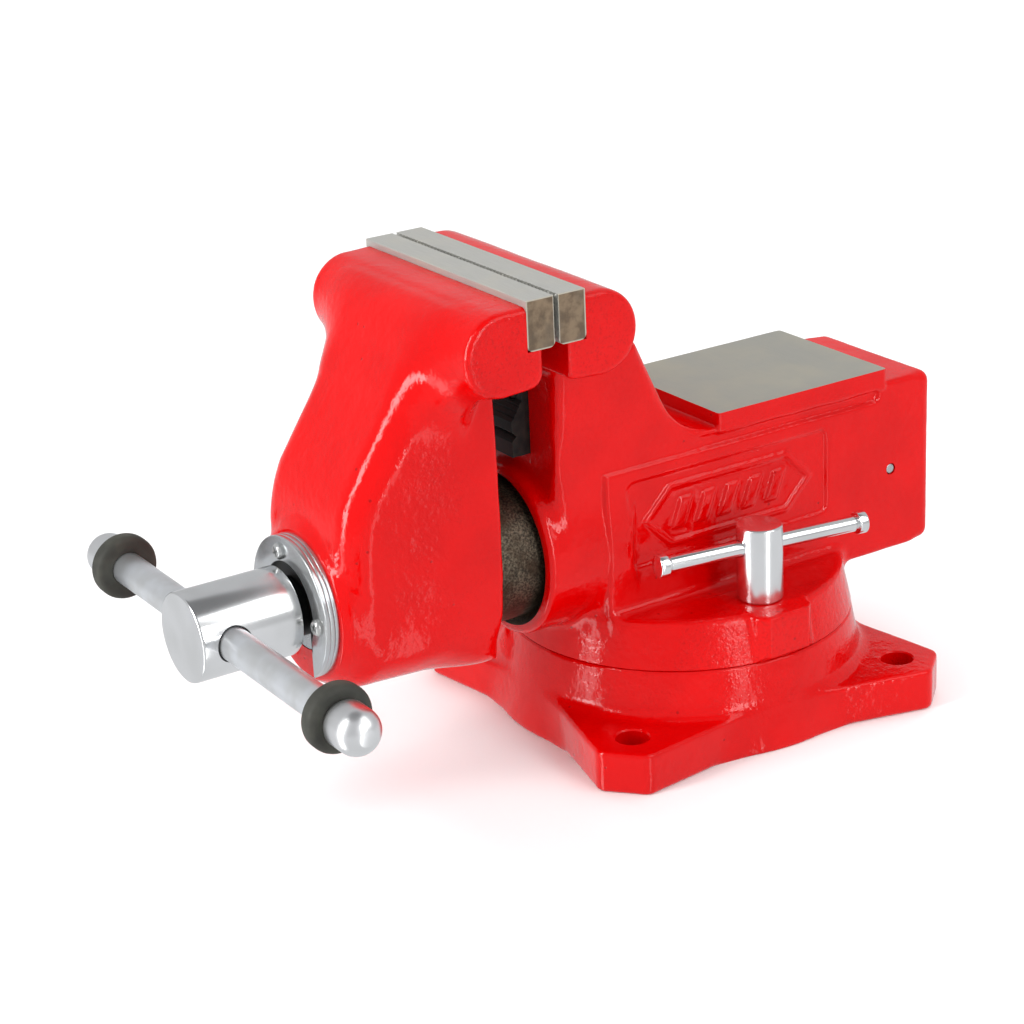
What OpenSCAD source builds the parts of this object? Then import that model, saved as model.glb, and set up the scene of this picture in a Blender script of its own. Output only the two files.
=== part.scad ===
// Bench vise on a swivel base, with a round slide, a long tubular nut and pipe jaws under the main jaws.
// Millimetres. The origin is on the swivel axis at the underside of the base. +Y runs from the spindle
// handle to the tail, +X to the right-hand swivel lock and +Z up.

/* [Jaws] */
// Width of the jaws and their plates
jaw_w = 165; // [130:1:200]
// Thickness of a jaw plate
plate_t = 17.6; // [14:0.1:22]
// Height of a jaw plate
plate_h = 28.3; // [23:0.1:34]
// Gap between the plates as the vise stands
jaw_gap = 2.4; // [1:0.1:12]
// Widest opening between the plates
max_opening = 156; // [120:1:190]
// Height of the plates' top above the spindle axis
jaw_rise = 172; // [150:1:215]
// How far the jaws stand in front of the swivel axis
jaw_reach = 136.1; // [130:0.1:150]
// Radius of the rolled heads behind the plates
head_r = 24; // [20:0.5:29]
// Width of the pipe jaws
pipe_jaw_w = 48; // [40:1:58]
// Depth of the pipe jaws at their lips
pipe_jaw_t = 12; // [10:0.5:14]

/* [Slide and spindle] */
// Outer diameter of the slide
slide_d = 82; // [68:1:99]
// Wall of the slide
slide_wall = 10; // [8:0.5:12]
// Major diameter of the spindle's screw
screw_d = 28; // [23:0.5:34]
// Outer diameter of the tubular nut
nut_d = 48; // [44:1:54]
// Diameter of the spindle head
head_d = 51; // [42:0.5:62]
// Length of the spindle head
head_len = 60.8; // [52:0.1:76]
// Diameter of the handle rod
rod_d = 19; // [15:0.5:23]
// Length of the handle, over its caps
handle_len = 306; // [255:1:368]
// How far the handle stands off centre, towards +X
handle_shift = 11.5; // [0:0.1:30]
// Turn of the spindle and its handle about the spindle axis, in degrees
handle_turn = 1; // [-90:0.5:90]
// Diameter of the handle caps
cap_d = 26; // [23:0.5:32]
// Diameter of the rubber rings on the handle
ring_d = 38; // [34:0.5:45]

/* [Body] */
// Thinnest wall of the castings around the bore
body_wall = 6.5; // [5.5:0.5:8]
// Thickness of the roof over the bore
roof_t = 15.5; // [12:0.5:19]
// Distance from the swivel axis to the tail's end
tail_len = 157; // [150:1:190]
// Height of the anvil above the beam
anvil_h = 8.8; // [6:0.1:11]
// Length of the anvil
anvil_len = 126; // [100:1:128]
// Thickness of the tail wall that holds the nut
tail_wall = 38; // [34:1:46]
// Diameter of the cross pin that holds the nut
nut_pin_d = 6; // [5:0.5:8]

/* [Swivel base] */
// Height of the base up to the seam
base_h = 53; // [48:1:63]
// Height of the body's foot above the seam
foot_h = 28.5; // [26:0.5:34]
// Distance from the drum's lower edge out to the mounting bolts
bolt_offset = 19; // [16:0.5:24]
// Diameter of the mounting holes
bolt_hole_d = 19.3; // [14:0.1:22]
// Thickness of the base's lugs
lug_t = 25; // [20:0.5:30]
// Turn of the base under the body, in degrees
base_turn = -3.4; // [-45:0.1:45]
// Diameter of the lock nuts
lock_nut_d = 27; // [23:0.5:32]
// Height of the lock nuts
lock_nut_h = 46.5; // [40:0.5:55]
// Diameter of the lock bars
lock_bar_d = 9.5; // [8:0.5:11]
// Length of the lock bars
lock_bar_len = 137; // [115:1:164]
// Thread diameter of the lock bolts
lock_bolt_d = 16; // [14:0.5:18]
// Thread diameter of the pivot bolt
pivot_d = 20; // [16:0.5:24]

/* [Hidden] */
$fn = 96;

red = "#d01414";
ground_steel = "#8d8c88";
chrome = "#d8dadc";
zinc = "#b9bdc0";
oxide = "#26282a";
rubber = "#3a3a36";
raw_iron = "#7a6d5c";

// Clearances
running = 0.08;      // radial, of a shaft that turns or slides in its bore
bolt_clear = 0.6;    // radial, of a bolt in a plain hole
body_gap = 0.3;      // between moving bodies that only pass each other
seat_gap = 0.05;     // between a seated piece and the floor of its recess

// Jaws along Y, measured at rest
jaw_mid_y = -jaw_reach;
rear_face_y = jaw_mid_y + jaw_gap / 2;
rear_back_y = rear_face_y + plate_t;
front_face_y = jaw_mid_y - jaw_gap / 2;
front_back_y = front_face_y - plate_t;
rear_proud = 3;       // how far the rear plate stands out of its casting
front_proud = 7.2;    // the same for the front plate
rear_cast_y = rear_face_y + rear_proud;
front_cast_y = front_face_y - front_proud;
throat_y = rear_back_y - 0.7;             // front of the neck, below the rear head
jaw_back_y = front_back_y - 3.1;          // back of the movable jaw, below its head
jaw_travel = max_opening - jaw_gap;
rear_roll_y = rear_back_y + 10.3;         // centres of the rolled heads
front_roll_y = front_back_y - 15;

// Heights
foot_web = foot_h - 11;                   // seam to the underside of the beam
relief = 2.5;                             // extra radius of the bore behind its front land
slide_r = slide_d / 2;
bore_relief_r = slide_r + relief;
body_hw = bore_relief_r + body_wall;      // half the width of the beam
seam_z = base_h;
beam_z = seam_z + foot_web;
screw_z = beam_z + body_wall + bore_relief_r;
beam_top_z = screw_z + bore_relief_r + roof_t;
foot_top_z = seam_z + foot_h;
jaw_top_z = screw_z + jaw_rise;
head_z = jaw_top_z - plate_h + 0.8;       // centre of the rolled heads
cast_top_z = head_z + head_r;
plate_screw_z = jaw_top_z - plate_h / 2;
jaw_bottom_z = screw_z - bore_relief_r;
pipe_low_z = head_z - 82;                 // lower edge of the pipe jaws
pipe_screw_z = pipe_low_z + 36;

// Bore and slide along Y
barrel_y = throat_y - 8;                  // front of the barrel around the bore
barrel_r = bore_relief_r + 8.5;
beam_y = barrel_y + 36;                   // front of the square beam, around the barrel's back end
anvil_y = tail_len - 37 - anvil_len;
land_end_y = -30;
bore_end_y = tail_len - tail_wall;
slide_end_y = bore_end_y - 3;
screw_tip_y = bore_end_y - 3;
slide_in_r = slide_r - slide_wall;
engaged = 38;                             // thread still in the nut at the widest opening
nut_front_y = screw_tip_y - jaw_travel - engaged;
nut_back_y = bore_end_y + 20;
nut_pin_y = bore_end_y + 5.7;
nut_pin_z = screw_z + 2.5;
nut_r = nut_d / 2;
screw_r = screw_d / 2;

// Front of the movable jaw
boss_r = head_d / 2 + 18;
boss_y = jaw_back_y - 98.5;               // front of the boss, where the retainer ring sits
shoulder_y = boss_y + 3;                  // front of the jaw's body, behind the boss
ring_t = 5.5;
retainer_t = 3;
retainer_y = boss_y - ring_t - retainer_t;
retainer_r = head_d / 2 + 15.5;
neck_r = screw_r + 3;
collar_r = neck_r + 9;
collar_t = 8;
washer_t = 3;
collar_y = boss_y + 0.3;                  // front of the collar on the spindle
pocket_y = collar_y + collar_t + washer_t + 0.3;
spindle_head_y = retainer_y - 4.7;        // back of the spindle head
head_front_y = spindle_head_y - head_len;
rod_y = head_front_y + 19;
hollow_y = pocket_y + 16;                 // front of the hollow inside the jaw and slide

// Handle along X
handle_ring_t = 11;
cap_len = 25.5;
near_tip_x = handle_len / 2 + handle_shift;
far_tip_x = -handle_len / 2 + handle_shift;

// Foot, base and locks
lock_r = lock_nut_d / 2;
lock_x = body_hw + 16.5 + lock_r;
foot_top_r = lock_x + lock_r + 4.5;
foot_r = foot_top_r + 6;
drum_r = foot_r + 9.5;
bolt_circle_r = drum_r + bolt_offset;
base_top_z = seam_z - body_gap;
slot_hw = lock_bolt_d / 2 + 1;
tee_hw = slot_hw + 7;
lip_t = 12;
tee_h = 13;
tee_floor_z = base_top_z - lip_t - tee_h - 1;
lock_bar_z = foot_top_z + lock_nut_h - 13;
lock_nut_top_z = foot_top_z + lock_nut_h;
lock_nut_floor_z = lock_bar_z - lock_bar_d / 2 - 3;
lock_bar_shift = 1.75;                    // how far the bars stand towards the tail in their nuts
pivot_head_z = 10.7;                      // top of the pivot bolt's head
lock_bar_angle = 8.4;                     // turn of the right bar from +Y towards +X
pivot_r = pivot_d / 2;

// Fasteners
plate_screw_d = 10;
plate_screw_head_r = plate_screw_d * 0.8;
plate_sink = 11;                          // depth of the plates' screw counterbores
plate_screw_inset = 38;                   // from a plate's end to its screw
plate_screw_x = jaw_w / 2 - plate_screw_inset;
pipe_screw_d = 6;
pipe_web = 0.9;                           // left under the heads of the pipe jaws' screws
pipe_screw_x = pipe_jaw_w / 2 - 10;
key_w = 10;
key_len = 16;
key_y = barrel_y + 14;
key_seat_z = screw_z - barrel_r + 1;      // spot face under the barrel for the key screw's head
key_sink = 6;                             // how deep the key sits in the body
key_rise = 4;                             // how far it stands into the slide
key_screw_d = 5;
key_screw_head_r = key_screw_d * 0.85;
retainer_screw_r = head_d / 2 + 7;
retainer_screw_d = 5;

// Points along an arc, from one angle to another
function arc(cx, cy, r, a0, a1, n = 8) =
    [for (i = [0:n]) let (a = a0 + (a1 - a0) * i / n) [cx + r * cos(a), cy + r * sin(a)]];

// Extrudes a (y, z) outline along X, centred on the middle plane
module across(w) { rotate([90, 0, 90]) linear_extrude(w, center = true) children(); }

// Extrudes an (x, z) outline along Y
module along(y0, y1) { translate([0, y1, 0]) rotate([90, 0, 0]) linear_extrude(y1 - y0) children(); }

// Cylinder along Y about the spindle axis, or about another height
module y_rod(r, y0, y1, z = screw_z, x = 0) {
    translate([x, y0, z]) rotate([-90, 0, 0]) cylinder(r = r, h = y1 - y0);
}

// Cone along Y about the spindle axis
module y_cone(r0, r1, y0, y1) {
    translate([0, y0, screw_z]) rotate([-90, 0, 0]) cylinder(r1 = r0, r2 = r1, h = y1 - y0);
}

// Rod along X, centred on x
module x_rod(r, len, y, z, x = 0) {
    translate([x - len / 2, y, z]) rotate([0, 90, 0]) cylinder(r = r, h = len);
}

// Turns the handle's pieces about the spindle axis
module turned() {
    translate([0, 0, screw_z]) rotate([0, handle_turn, 0]) translate([0, 0, -screw_z]) children();
}

// Copies on the right and the left of the middle plane
module both_sides(x) { for (s = [-1, 1]) translate([s * x, 0, 0]) children(); }

// Plan outline of one mounting lug, along +X before it is turned
module lug_outline() {
    tip_x = bolt_circle_r + 22.7;
    tip_hw = 14;
    root_x = drum_r * cos(27);
    root_y = drum_r * sin(27);
    polygon(concat([[0, -root_y], [root_x, -root_y]],
                   arc(tip_x - 8, -tip_hw + 2, 8, -50, 0, 5), arc(tip_x - 8, tip_hw - 2, 8, 0, 50, 5),
                   [[root_x, root_y], [0, root_y]]));
}

// The tee-slot ring that the lock bolts' heads run in
module tee_slot() {
    rotate_extrude() {
        translate([lock_x - slot_hw, tee_floor_z]) square([2 * slot_hw, seam_z]);
        translate([lock_x - tee_hw, tee_floor_z]) square([2 * tee_hw, tee_h + 1]);
    }
}

module swivel_base() {
    wall = 10;
    core_h = tee_floor_z - 10;
    color(red) rotate([0, 0, base_turn]) difference() {
        union() {
            rotate_extrude() polygon([[0, 0], [drum_r, 0], [drum_r, 4], [foot_r, base_top_z - 1],
                                      [foot_r - 1, base_top_z], [0, base_top_z]]);
            for (a = [45:90:315]) rotate([0, 0, a]) linear_extrude(lug_t) lug_outline();
        }
        tee_slot();
        // Cored underside, with a boss left around the pivot bolt
        rotate_extrude() polygon([[pivot_r + 16, -1], [drum_r - wall, -1], [drum_r - wall - 2, core_h],
                                  [pivot_r + 16, core_h]]);
        translate([0, 0, -1]) cylinder(r = pivot_r + 12, h = 15);
        cylinder(r = pivot_r + running, h = seam_z);
        for (a = [45:90:315]) rotate([0, 0, a]) translate([bolt_circle_r, 0, -1])
            cylinder(d = bolt_hole_d, h = lug_t + 2);
        // Holes that let the lock bolts' heads up into the slot
        for (s = [-1, 1]) translate([0, s * lock_x, core_h - 1])
            cylinder(r = tee_hw, h = tee_floor_z - core_h + 2);
    }
}

// Outline in (y, z) of a rolled jaw head; the roll is behind a plate and its back points along +Y
module head_outline(cast_y, roll_y, r) {
    corner_r = 9;
    dir = sign(roll_y - cast_y);
    translate([roll_y, head_z]) circle(r);
    translate([cast_y + dir * corner_r, head_z - r + corner_r + 1]) circle(corner_r);
    polygon([[cast_y, cast_top_z], [roll_y, head_z + r], [roll_y, head_z - r],
             [cast_y + dir * corner_r, head_z - r + 1], [cast_y, head_z - r + corner_r + 1]]);
}

// Recess for a jaw plate, open to the top and to the throat
module plate_recess(y0, y1) {
    translate([-jaw_w / 2 - 1, y0, jaw_top_z - plate_h - seat_gap])
        cube([jaw_w + 2, y1 - y0, plate_h + 10]);
}

// Front (x, z) outline of a neck or a jaw that widens upwards
module tapered_outline(hw_low, z_low, hw_high, z_high) {
    polygon([[-hw_low, z_low], [hw_low, z_low], [hw_high, z_high], [-hw_high, z_high]]);
}

// The two screws of a jaw plate as plain rods
module plate_screw_rods(y0, y1, r) { both_sides(plate_screw_x) y_rod(r, y0, y1, plate_screw_z); }

// The two screws of a pipe jaw as plain rods
module pipe_screw_rods(y0, y1, r) { both_sides(pipe_screw_x) y_rod(r, y0, y1, pipe_screw_z); }

// Key between the body and the slide, or with some clearance the groove that it runs in
module key_block(y0, y1, clear) {
    translate([-key_w / 2 - clear, y0, screw_z - slide_r - key_sink])
        cube([key_w + 2 * clear, y1 - y0, key_sink + key_rise + 3 * clear]);
}

// Cored underside of the body's foot, around the pivot and the lock bolts
module foot_core() {
    difference() {
        rotate_extrude() polygon([[pivot_r + 14, seam_z - 1], [foot_r - 12, seam_z - 1],
                                  [foot_r - 14, beam_z - 5], [pivot_r + 14, beam_z - 5]]);
        both_sides(lock_x) translate([0, 0, seam_z - 2]) cylinder(r = lock_r + 6, h = foot_h);
    }
}

module body_foot() {
    boss_x = foot_r + 4;
    rotate_extrude() polygon([[0, seam_z], [foot_r - 1, seam_z], [foot_r, seam_z + 1],
                              [foot_top_r, foot_top_z], [0, foot_top_z]]);
    // Squared bosses under the lock nuts
    for (a = [0, 180]) rotate([0, 0, a]) translate([0, 0, seam_z + 1]) linear_extrude(foot_h - 1)
        polygon([[lock_x - 10, -22], [boss_x - 6, -20], [boss_x, -14], [boss_x, 14],
                 [boss_x - 6, 20], [lock_x - 10, 22]]);
}

// Neck that carries the rear jaw head; its back slopes down to the beam
module neck() {
    back_y = rear_back_y + 54.5;
    runout_y = back_y + 54;
    intersection() {
        across(2 * body_hw + 40) polygon(concat(
            [[runout_y, screw_z], [throat_y, screw_z], [throat_y, head_z], [rear_roll_y, head_z],
             [back_y, head_z - 22]],
            arc(runout_y, beam_top_z + 36, 36, 210, 270)));
        along(throat_y - 1, runout_y + 1)
            tapered_outline(body_hw - 5, screw_z, body_hw + 6.5, head_z);
    }
}

// Long hexagon, by half its length and half its height
module long_hexagon(hl, hh) {
    polygon([[-hl, 0], [hh - hl, -hh], [hl - hh, -hh], [hl, 0], [hl - hh, hh], [hh - hl, hh]]);
}

// Sunk field on the side of the beam, around a badge of plain slanted bars in a long hexagon
module side_field() {
    field_l = 145;
    field_h = 52;
    field_y = tail_len - 155;
    field_z = beam_top_z - 45.5;
    translate([field_y, field_z]) difference() {
        square([field_l, field_h], center = true);
        difference() {
            long_hexagon(62, 19);
            long_hexagon(57, 15.5);
        }
        for (i = [-2:2]) translate([17 * i, 0]) polygon([[-8, -9], [1, -9], [8, 9], [-1, 9]]);
    }
}

// Finger groove along the side of the beam under the anvil, with a round end
module finger_groove() {
    groove_r = 4;
    end_y = tail_len - 46;
    translate([0, 0, beam_top_z - 7]) {
        translate([beam_y, -groove_r]) square([end_y - beam_y, 2 * groove_r]);
        translate([end_y, 0]) circle(groove_r);
    }
}

module fixed_body() {
    side_sink = 1.6;
    groove_sink = 2.2;
    color(red) difference() {
        union() {
            translate([-body_hw, beam_y, beam_z])
                cube([2 * body_hw, tail_len - beam_y, beam_top_z - beam_z]);
            y_cone(barrel_r - 3, barrel_r, barrel_y, barrel_y + 3);
            y_rod(barrel_r, barrel_y + 3, beam_y + 10);
            body_foot();
            neck();
            across(jaw_w) head_outline(rear_cast_y, rear_roll_y, head_r);
            translate([-body_hw - 1, anvil_y, beam_top_z - 3])
                cube([2 * body_hw + 2, anvil_len, anvil_h + 3]);
        }
        plate_recess(rear_face_y - 20, rear_back_y + seat_gap);
        plate_screw_rods(rear_back_y - 1, rear_back_y + 20, plate_screw_d / 2);
        pipe_screw_rods(throat_y - 1, throat_y + 16, pipe_screw_d / 2);
        // Bore: a machined land behind a flared mouth, then a relieved length
        y_rod(slide_r + running, barrel_y - 1, land_end_y);
        y_rod(bore_relief_r, land_end_y - 1, bore_end_y);
        y_cone(slide_r + 4.5, slide_r, barrel_y - 0.01, barrel_y + 4.5);
        // Socket of the nut, and the hole of its cross pin
        y_rod(nut_r, bore_end_y - 1, nut_back_y);
        x_rod(nut_pin_d / 2 + 0.3, 2 * body_hw + 4, nut_pin_y, nut_pin_z);
        // Key seat, and the hole of the screw that holds the key from below
        key_block(key_y - key_len / 2, key_y + key_len / 2, 0);
        translate([0, key_y, screw_z - barrel_r - 5]) cylinder(r = key_screw_d / 2, h = 12);
        translate([0, key_y, key_seat_z - 9]) cylinder(r = key_screw_head_r + bolt_clear, h = 9);
        both_sides(body_hw) across(2 * groove_sink) finger_groove();
        both_sides(body_hw) across(2 * side_sink) side_field();
        foot_core();
        translate([0, 0, seam_z - 1]) cylinder(r = pivot_r, h = foot_web + 1);
        both_sides(lock_x) translate([0, 0, seam_z - 1])
            cylinder(r = lock_bolt_d / 2 + bolt_clear, h = foot_h + 2);
    }
}

// Side outline of the movable jaw below its head
module jaw_outline() {
    chin_r = 16;
    brow_r = 22;
    bow_r = 88;
    polygon(concat(
        [[jaw_back_y, jaw_bottom_z], [jaw_back_y, head_z - 10], [front_roll_y - 15, head_z - 5]],
        arc(front_roll_y - 26, head_z - 38, brow_r, 100, 154),
        arc(shoulder_y + bow_r, screw_z + 33, bow_r, 154, 180),
        arc(shoulder_y + chin_r, jaw_bottom_z + chin_r, chin_r, 180, 270)));
}

// Front outline of the movable jaw: widest across its boss
module jaw_front_outline() {
    waist = body_hw + 4;
    polygon([[-body_hw, jaw_bottom_z], [body_hw, jaw_bottom_z], [waist, screw_z + 25],
             [waist - 1, head_z - 60], [body_hw, head_z], [-body_hw, head_z],
             [1 - waist, head_z - 60], [-waist, screw_z + 25]]);
}

// Movable jaw, cast in one with its hollow slide
module movable_jaw() {
    color(red) difference() {
        union() {
            intersection() {
                across(2 * body_hw + 40) jaw_outline();
                along(shoulder_y - 1, jaw_back_y + 1) jaw_front_outline();
            }
            across(jaw_w) head_outline(front_cast_y, front_roll_y, head_r - 0.5);
            y_cone(boss_r, boss_r + 3.5, boss_y, boss_y + 5);
            y_rod(boss_r + 3.5, boss_y + 5, boss_y + 16);
            y_rod(slide_r, jaw_back_y - 5, slide_end_y);
        }
        plate_recess(front_back_y - seat_gap, front_face_y + 20);
        plate_screw_rods(front_back_y - 20, front_back_y + 1, plate_screw_d / 2);
        pipe_screw_rods(jaw_back_y - 16, jaw_back_y + 1, pipe_screw_d / 2);
        y_rod(collar_r + 0.3, boss_y - 1, pocket_y);
        y_rod(screw_r + 1, pocket_y - 1, hollow_y + 1);
        y_rod(slide_in_r, hollow_y, slide_end_y + 1);
        key_block(key_y - key_len / 2 - jaw_gap - 3, slide_end_y + 1, 0.1);
        retainer_screw_rods(retainer_screw_d / 2, boss_y - 1, boss_y + 9);
    }
}

// A jaw plate with its lower edges rounded and its two screws sunk from the gripping face
module jaw_plate(y0, face_dir) {
    ease = 3.5;
    low_z = jaw_top_z - plate_h;
    sink_y = face_dir < 0 ? y0 - 1 : y0 + plate_t - plate_sink;
    color(ground_steel) difference() {
        across(jaw_w) polygon(concat(
            [[y0 + plate_t, jaw_top_z], [y0, jaw_top_z]],
            arc(y0 + ease, low_z + ease, ease, 180, 270, 5),
            arc(y0 + plate_t - ease, low_z + ease, ease, 270, 360, 5)));
        plate_screw_rods(y0 - 1, y0 + plate_t + 1, plate_screw_d / 2 + bolt_clear);
        plate_screw_rods(sink_y, sink_y + plate_sink + 1, plate_screw_head_r + bolt_clear);
    }
}
module rear_jaw_plate() { jaw_plate(rear_face_y, -1); }
module front_jaw_plate() { jaw_plate(front_back_y, 1); }

// Socket-head screw pointing along +Y, with its head's front at the origin
module cap_screw(d, head_h, shank_l) {
    difference() {
        union() {
            rotate([-90, 0, 0]) cylinder(r = d * 0.8, h = head_h);
            rotate([-90, 0, 0]) cylinder(d = d, h = head_h + shank_l);
        }
        translate([0, -1, 0]) rotate([-90, 0, 0]) cylinder(d = d * 0.9, h = head_h * 0.6 + 1, $fn = 6);
    }
}

// The pair of screws that holds a jaw plate; dir is the way they point
module plate_screws(face_y, dir) {
    color(oxide) both_sides(plate_screw_x)
        translate([0, face_y, plate_screw_z]) rotate([0, 0, dir > 0 ? 0 : 180])
            translate([0, plate_sink - plate_screw_d, 0])
                cap_screw(plate_screw_d, plate_screw_d, plate_t - plate_sink + 15);
}
module rear_jaw_screws() { plate_screws(rear_face_y, 1); }
module front_jaw_screws() { plate_screws(front_face_y, -1); }

// Side outline of a pipe jaw, its back on the Z axis and its teeth towards -Y
module pipe_jaw_outline() {
    t = pipe_jaw_t;
    polygon([[0, 0], [-t, 0], [-t, 9], [3 - t, 12], [-t, 15], [-t, 21], [-4.5, 33], [-4.5, 39],
             [-t, 51], [-t, 57], [0, 57]]);
}

// A pipe jaw on the throat's wall at y; dir is the way its teeth point
module pipe_jaw(y, dir) {
    lip_y = y + 15 * dir;
    sink_y = y + pipe_web * dir;          // floor of the sinks for the screws' heads
    color(oxide) difference() {
        translate([0, y, pipe_low_z]) rotate([0, 0, dir < 0 ? 0 : 180])
            across(pipe_jaw_w) pipe_jaw_outline();
        pipe_screw_rods(y - 1, y + 1, pipe_screw_d / 2 + bolt_clear);
        pipe_screw_rods(min(sink_y, lip_y), max(sink_y, lip_y), pipe_screw_d * 0.8 + bolt_clear);
    }
}
module fixed_pipe_jaw() { pipe_jaw(throat_y, -1); }
module movable_pipe_jaw() { pipe_jaw(jaw_back_y, 1); }

// The pair of screws that holds a pipe jaw on the wall at y
module pipe_screws(y, dir) {
    head_h = pipe_screw_d * 0.6;
    color(oxide) both_sides(pipe_screw_x)
        translate([0, y, pipe_screw_z]) rotate([0, 0, dir < 0 ? 0 : 180])
            translate([0, -pipe_web - head_h, 0]) cap_screw(pipe_screw_d, head_h, 14);
}
module fixed_pipe_jaw_screws() { pipe_screws(throat_y, -1); }
module movable_pipe_jaw_screws() { pipe_screws(jaw_back_y, 1); }

// Spindle: a turned head with the handle's cross hole, a neck and the screw
module spindle() {
    color(chrome) difference() {
        union() {
            y_cone(head_d / 2 - 1, head_d / 2, head_front_y, head_front_y + 1);
            y_rod(head_d / 2, head_front_y + 1, spindle_head_y);
            y_rod(neck_r, spindle_head_y, collar_y + collar_t);
            y_rod(screw_r, collar_y + collar_t, screw_tip_y - 2);
            y_cone(screw_r, screw_r - 2, screw_tip_y - 2, screw_tip_y);
        }
        turned() x_rod(rod_d / 2 + 1, head_d + 10, rod_y, screw_z);
        collar_pin_rod(2 * collar_r);
    }
}

// Cross pin through the collar, as a plain rod
module collar_pin_rod(len) { x_rod(2.5, len, collar_y + collar_t / 2, screw_z); }

module spindle_collar() {
    color(zinc) difference() {
        y_rod(collar_r, collar_y, collar_y + collar_t);
        y_rod(neck_r, collar_y - 1, collar_y + collar_t + 1);
        collar_pin_rod(3 * collar_r);
    }
}
module collar_pin() { color(zinc) collar_pin_rod(2 * collar_r - 3); }

module thrust_washer() {
    color(raw_iron) difference() {
        y_rod(collar_r, pocket_y - washer_t, pocket_y);
        y_rod(screw_r + 1, pocket_y - washer_t - 1, pocket_y + 1);
    }
}

// The retainer's screws as plain rods, spread round its open ring
module retainer_screw_rods(r, y0, y1) {
    for (a = [-1, 100, 201])
        y_rod(r, y0, y1, screw_z + retainer_screw_r * sin(a), retainer_screw_r * cos(a));
}

// Horseshoe around the spindle: a ring with a slot of the given half width down from its hole
module horseshoe(r_in, r_out, y0, y1, slot_hw) {
    difference() {
        y_rod(r_out, y0, y1);
        y_rod(r_in, y0 - 1, y1 + 1);
        translate([-slot_hw, y0 - 1, screw_z - 2 * r_out]) cube([2 * slot_hw, y1 - y0 + 2, 2 * r_out]);
        retainer_screw_rods(retainer_screw_d / 2 + bolt_clear / 2, y0 - 1, y1 + 1);
    }
}
module retainer_plate() {
    hole_r = head_d / 2 + 1.2;
    color(zinc) horseshoe(hole_r, retainer_r, retainer_y, retainer_y + retainer_t, hole_r - 2.6);
}
module retainer_ring() {
    hole_r = neck_r + 0.5;
    color(zinc) horseshoe(hole_r, retainer_r, boss_y - ring_t, boss_y, hole_r);
}

module retainer_screws() {
    head_h = 3;
    color(zinc) {
        retainer_screw_rods(4.7, retainer_y - head_h, retainer_y);
        retainer_screw_rods(retainer_screw_d / 2, retainer_y - 0.01, boss_y + 8);
    }
}

// Long nut, threaded at its front end only and pinned at its solid back end
module tubular_nut() {
    color(raw_iron) difference() {
        y_rod(nut_r, nut_front_y, nut_back_y);
        y_rod(screw_r + running, nut_front_y - 1, nut_front_y + engaged + 2);
        y_rod(screw_r + 2, nut_front_y + engaged + 1, bore_end_y + 1);
        x_rod(nut_pin_d / 2, nut_d + 2, nut_pin_y, nut_pin_z);
    }
}
module nut_pin() { color(zinc) x_rod(nut_pin_d / 2, 2 * body_hw - 0.6, nut_pin_y, nut_pin_z); }

module slide_key() {
    color(ground_steel) difference() {
        key_block(key_y - key_len / 2, key_y + key_len / 2, 0);
        translate([0, key_y, 0]) cylinder(r = key_screw_d / 2, h = screw_z - slide_r);
    }
}
module slide_key_screw() {
    head_h = 4.4;
    color(oxide) translate([0, key_y, key_seat_z - head_h]) {
        cylinder(r = key_screw_head_r, h = head_h);
        cylinder(d = key_screw_d, h = screw_z - slide_r - key_seat_z + head_h);
    }
}

module handle_rod() {
    color(zinc) turned() x_rod(rod_d / 2, handle_len - 20, rod_y, screw_z, handle_shift);
}

// Domed cap pressed on the rod, pointing along +X from its open end at the origin
module handle_cap() {
    r = cap_d / 2;
    dome = 11;
    rotate([0, 90, 0]) rotate_extrude() difference() {
        union() {
            square([r - 1.5, 5]);
            translate([0, 3]) square([r, cap_len - dome - 3]);
            intersection() {
                translate([0, cap_len - dome]) square([r, dome]);
                translate([0, cap_len - 1.18 * r]) circle(1.18 * r);
            }
        }
        translate([-1, -1]) square([rod_d / 2 + 1, cap_len - 9]);
        translate([-2 * r, -1]) square([2 * r, 2 * cap_len]);
    }
}
module near_handle_cap() {
    color(chrome) turned() translate([near_tip_x - cap_len, rod_y, screw_z]) handle_cap();
}
module far_handle_cap() {
    color(chrome) turned()
        translate([far_tip_x + cap_len, rod_y, screw_z]) rotate([0, 0, 180]) handle_cap();
}

// Rubber buffer ring on the rod, centred on the origin
module handle_ring() {
    hw = handle_ring_t / 2;
    ease = 4;
    rotate([0, 90, 0]) rotate_extrude() polygon(concat(
        [[rod_d / 2, -hw]], arc(ring_d / 2 - ease, ease - hw, ease, 270, 360, 5),
        arc(ring_d / 2 - ease, hw - ease, ease, 0, 90, 5), [[rod_d / 2, hw]]));
}
module near_handle_ring() {
    color(rubber) turned()
        translate([near_tip_x - cap_len - handle_ring_t / 2, rod_y, screw_z]) handle_ring();
}
module far_handle_ring() {
    color(rubber) turned()
        translate([far_tip_x + cap_len + handle_ring_t / 2, rod_y, screw_z]) handle_ring();
}

// Pivot bolt, screwed up into the body through the base
module pivot_bolt() {
    color(zinc) {
        translate([0, 0, pivot_head_z - 9]) cylinder(d = pivot_d * 1.73, h = 9, $fn = 6);
        translate([0, 0, pivot_head_z - 1]) cylinder(r = pivot_r, h = beam_z - 2 - pivot_head_z);
    }
}
module pivot_washer() {
    color(zinc) translate([0, 0, pivot_head_z]) difference() {
        cylinder(r = pivot_r + 9, h = 3);
        translate([0, 0, -1]) cylinder(r = pivot_r, h = 5);
    }
}

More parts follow.
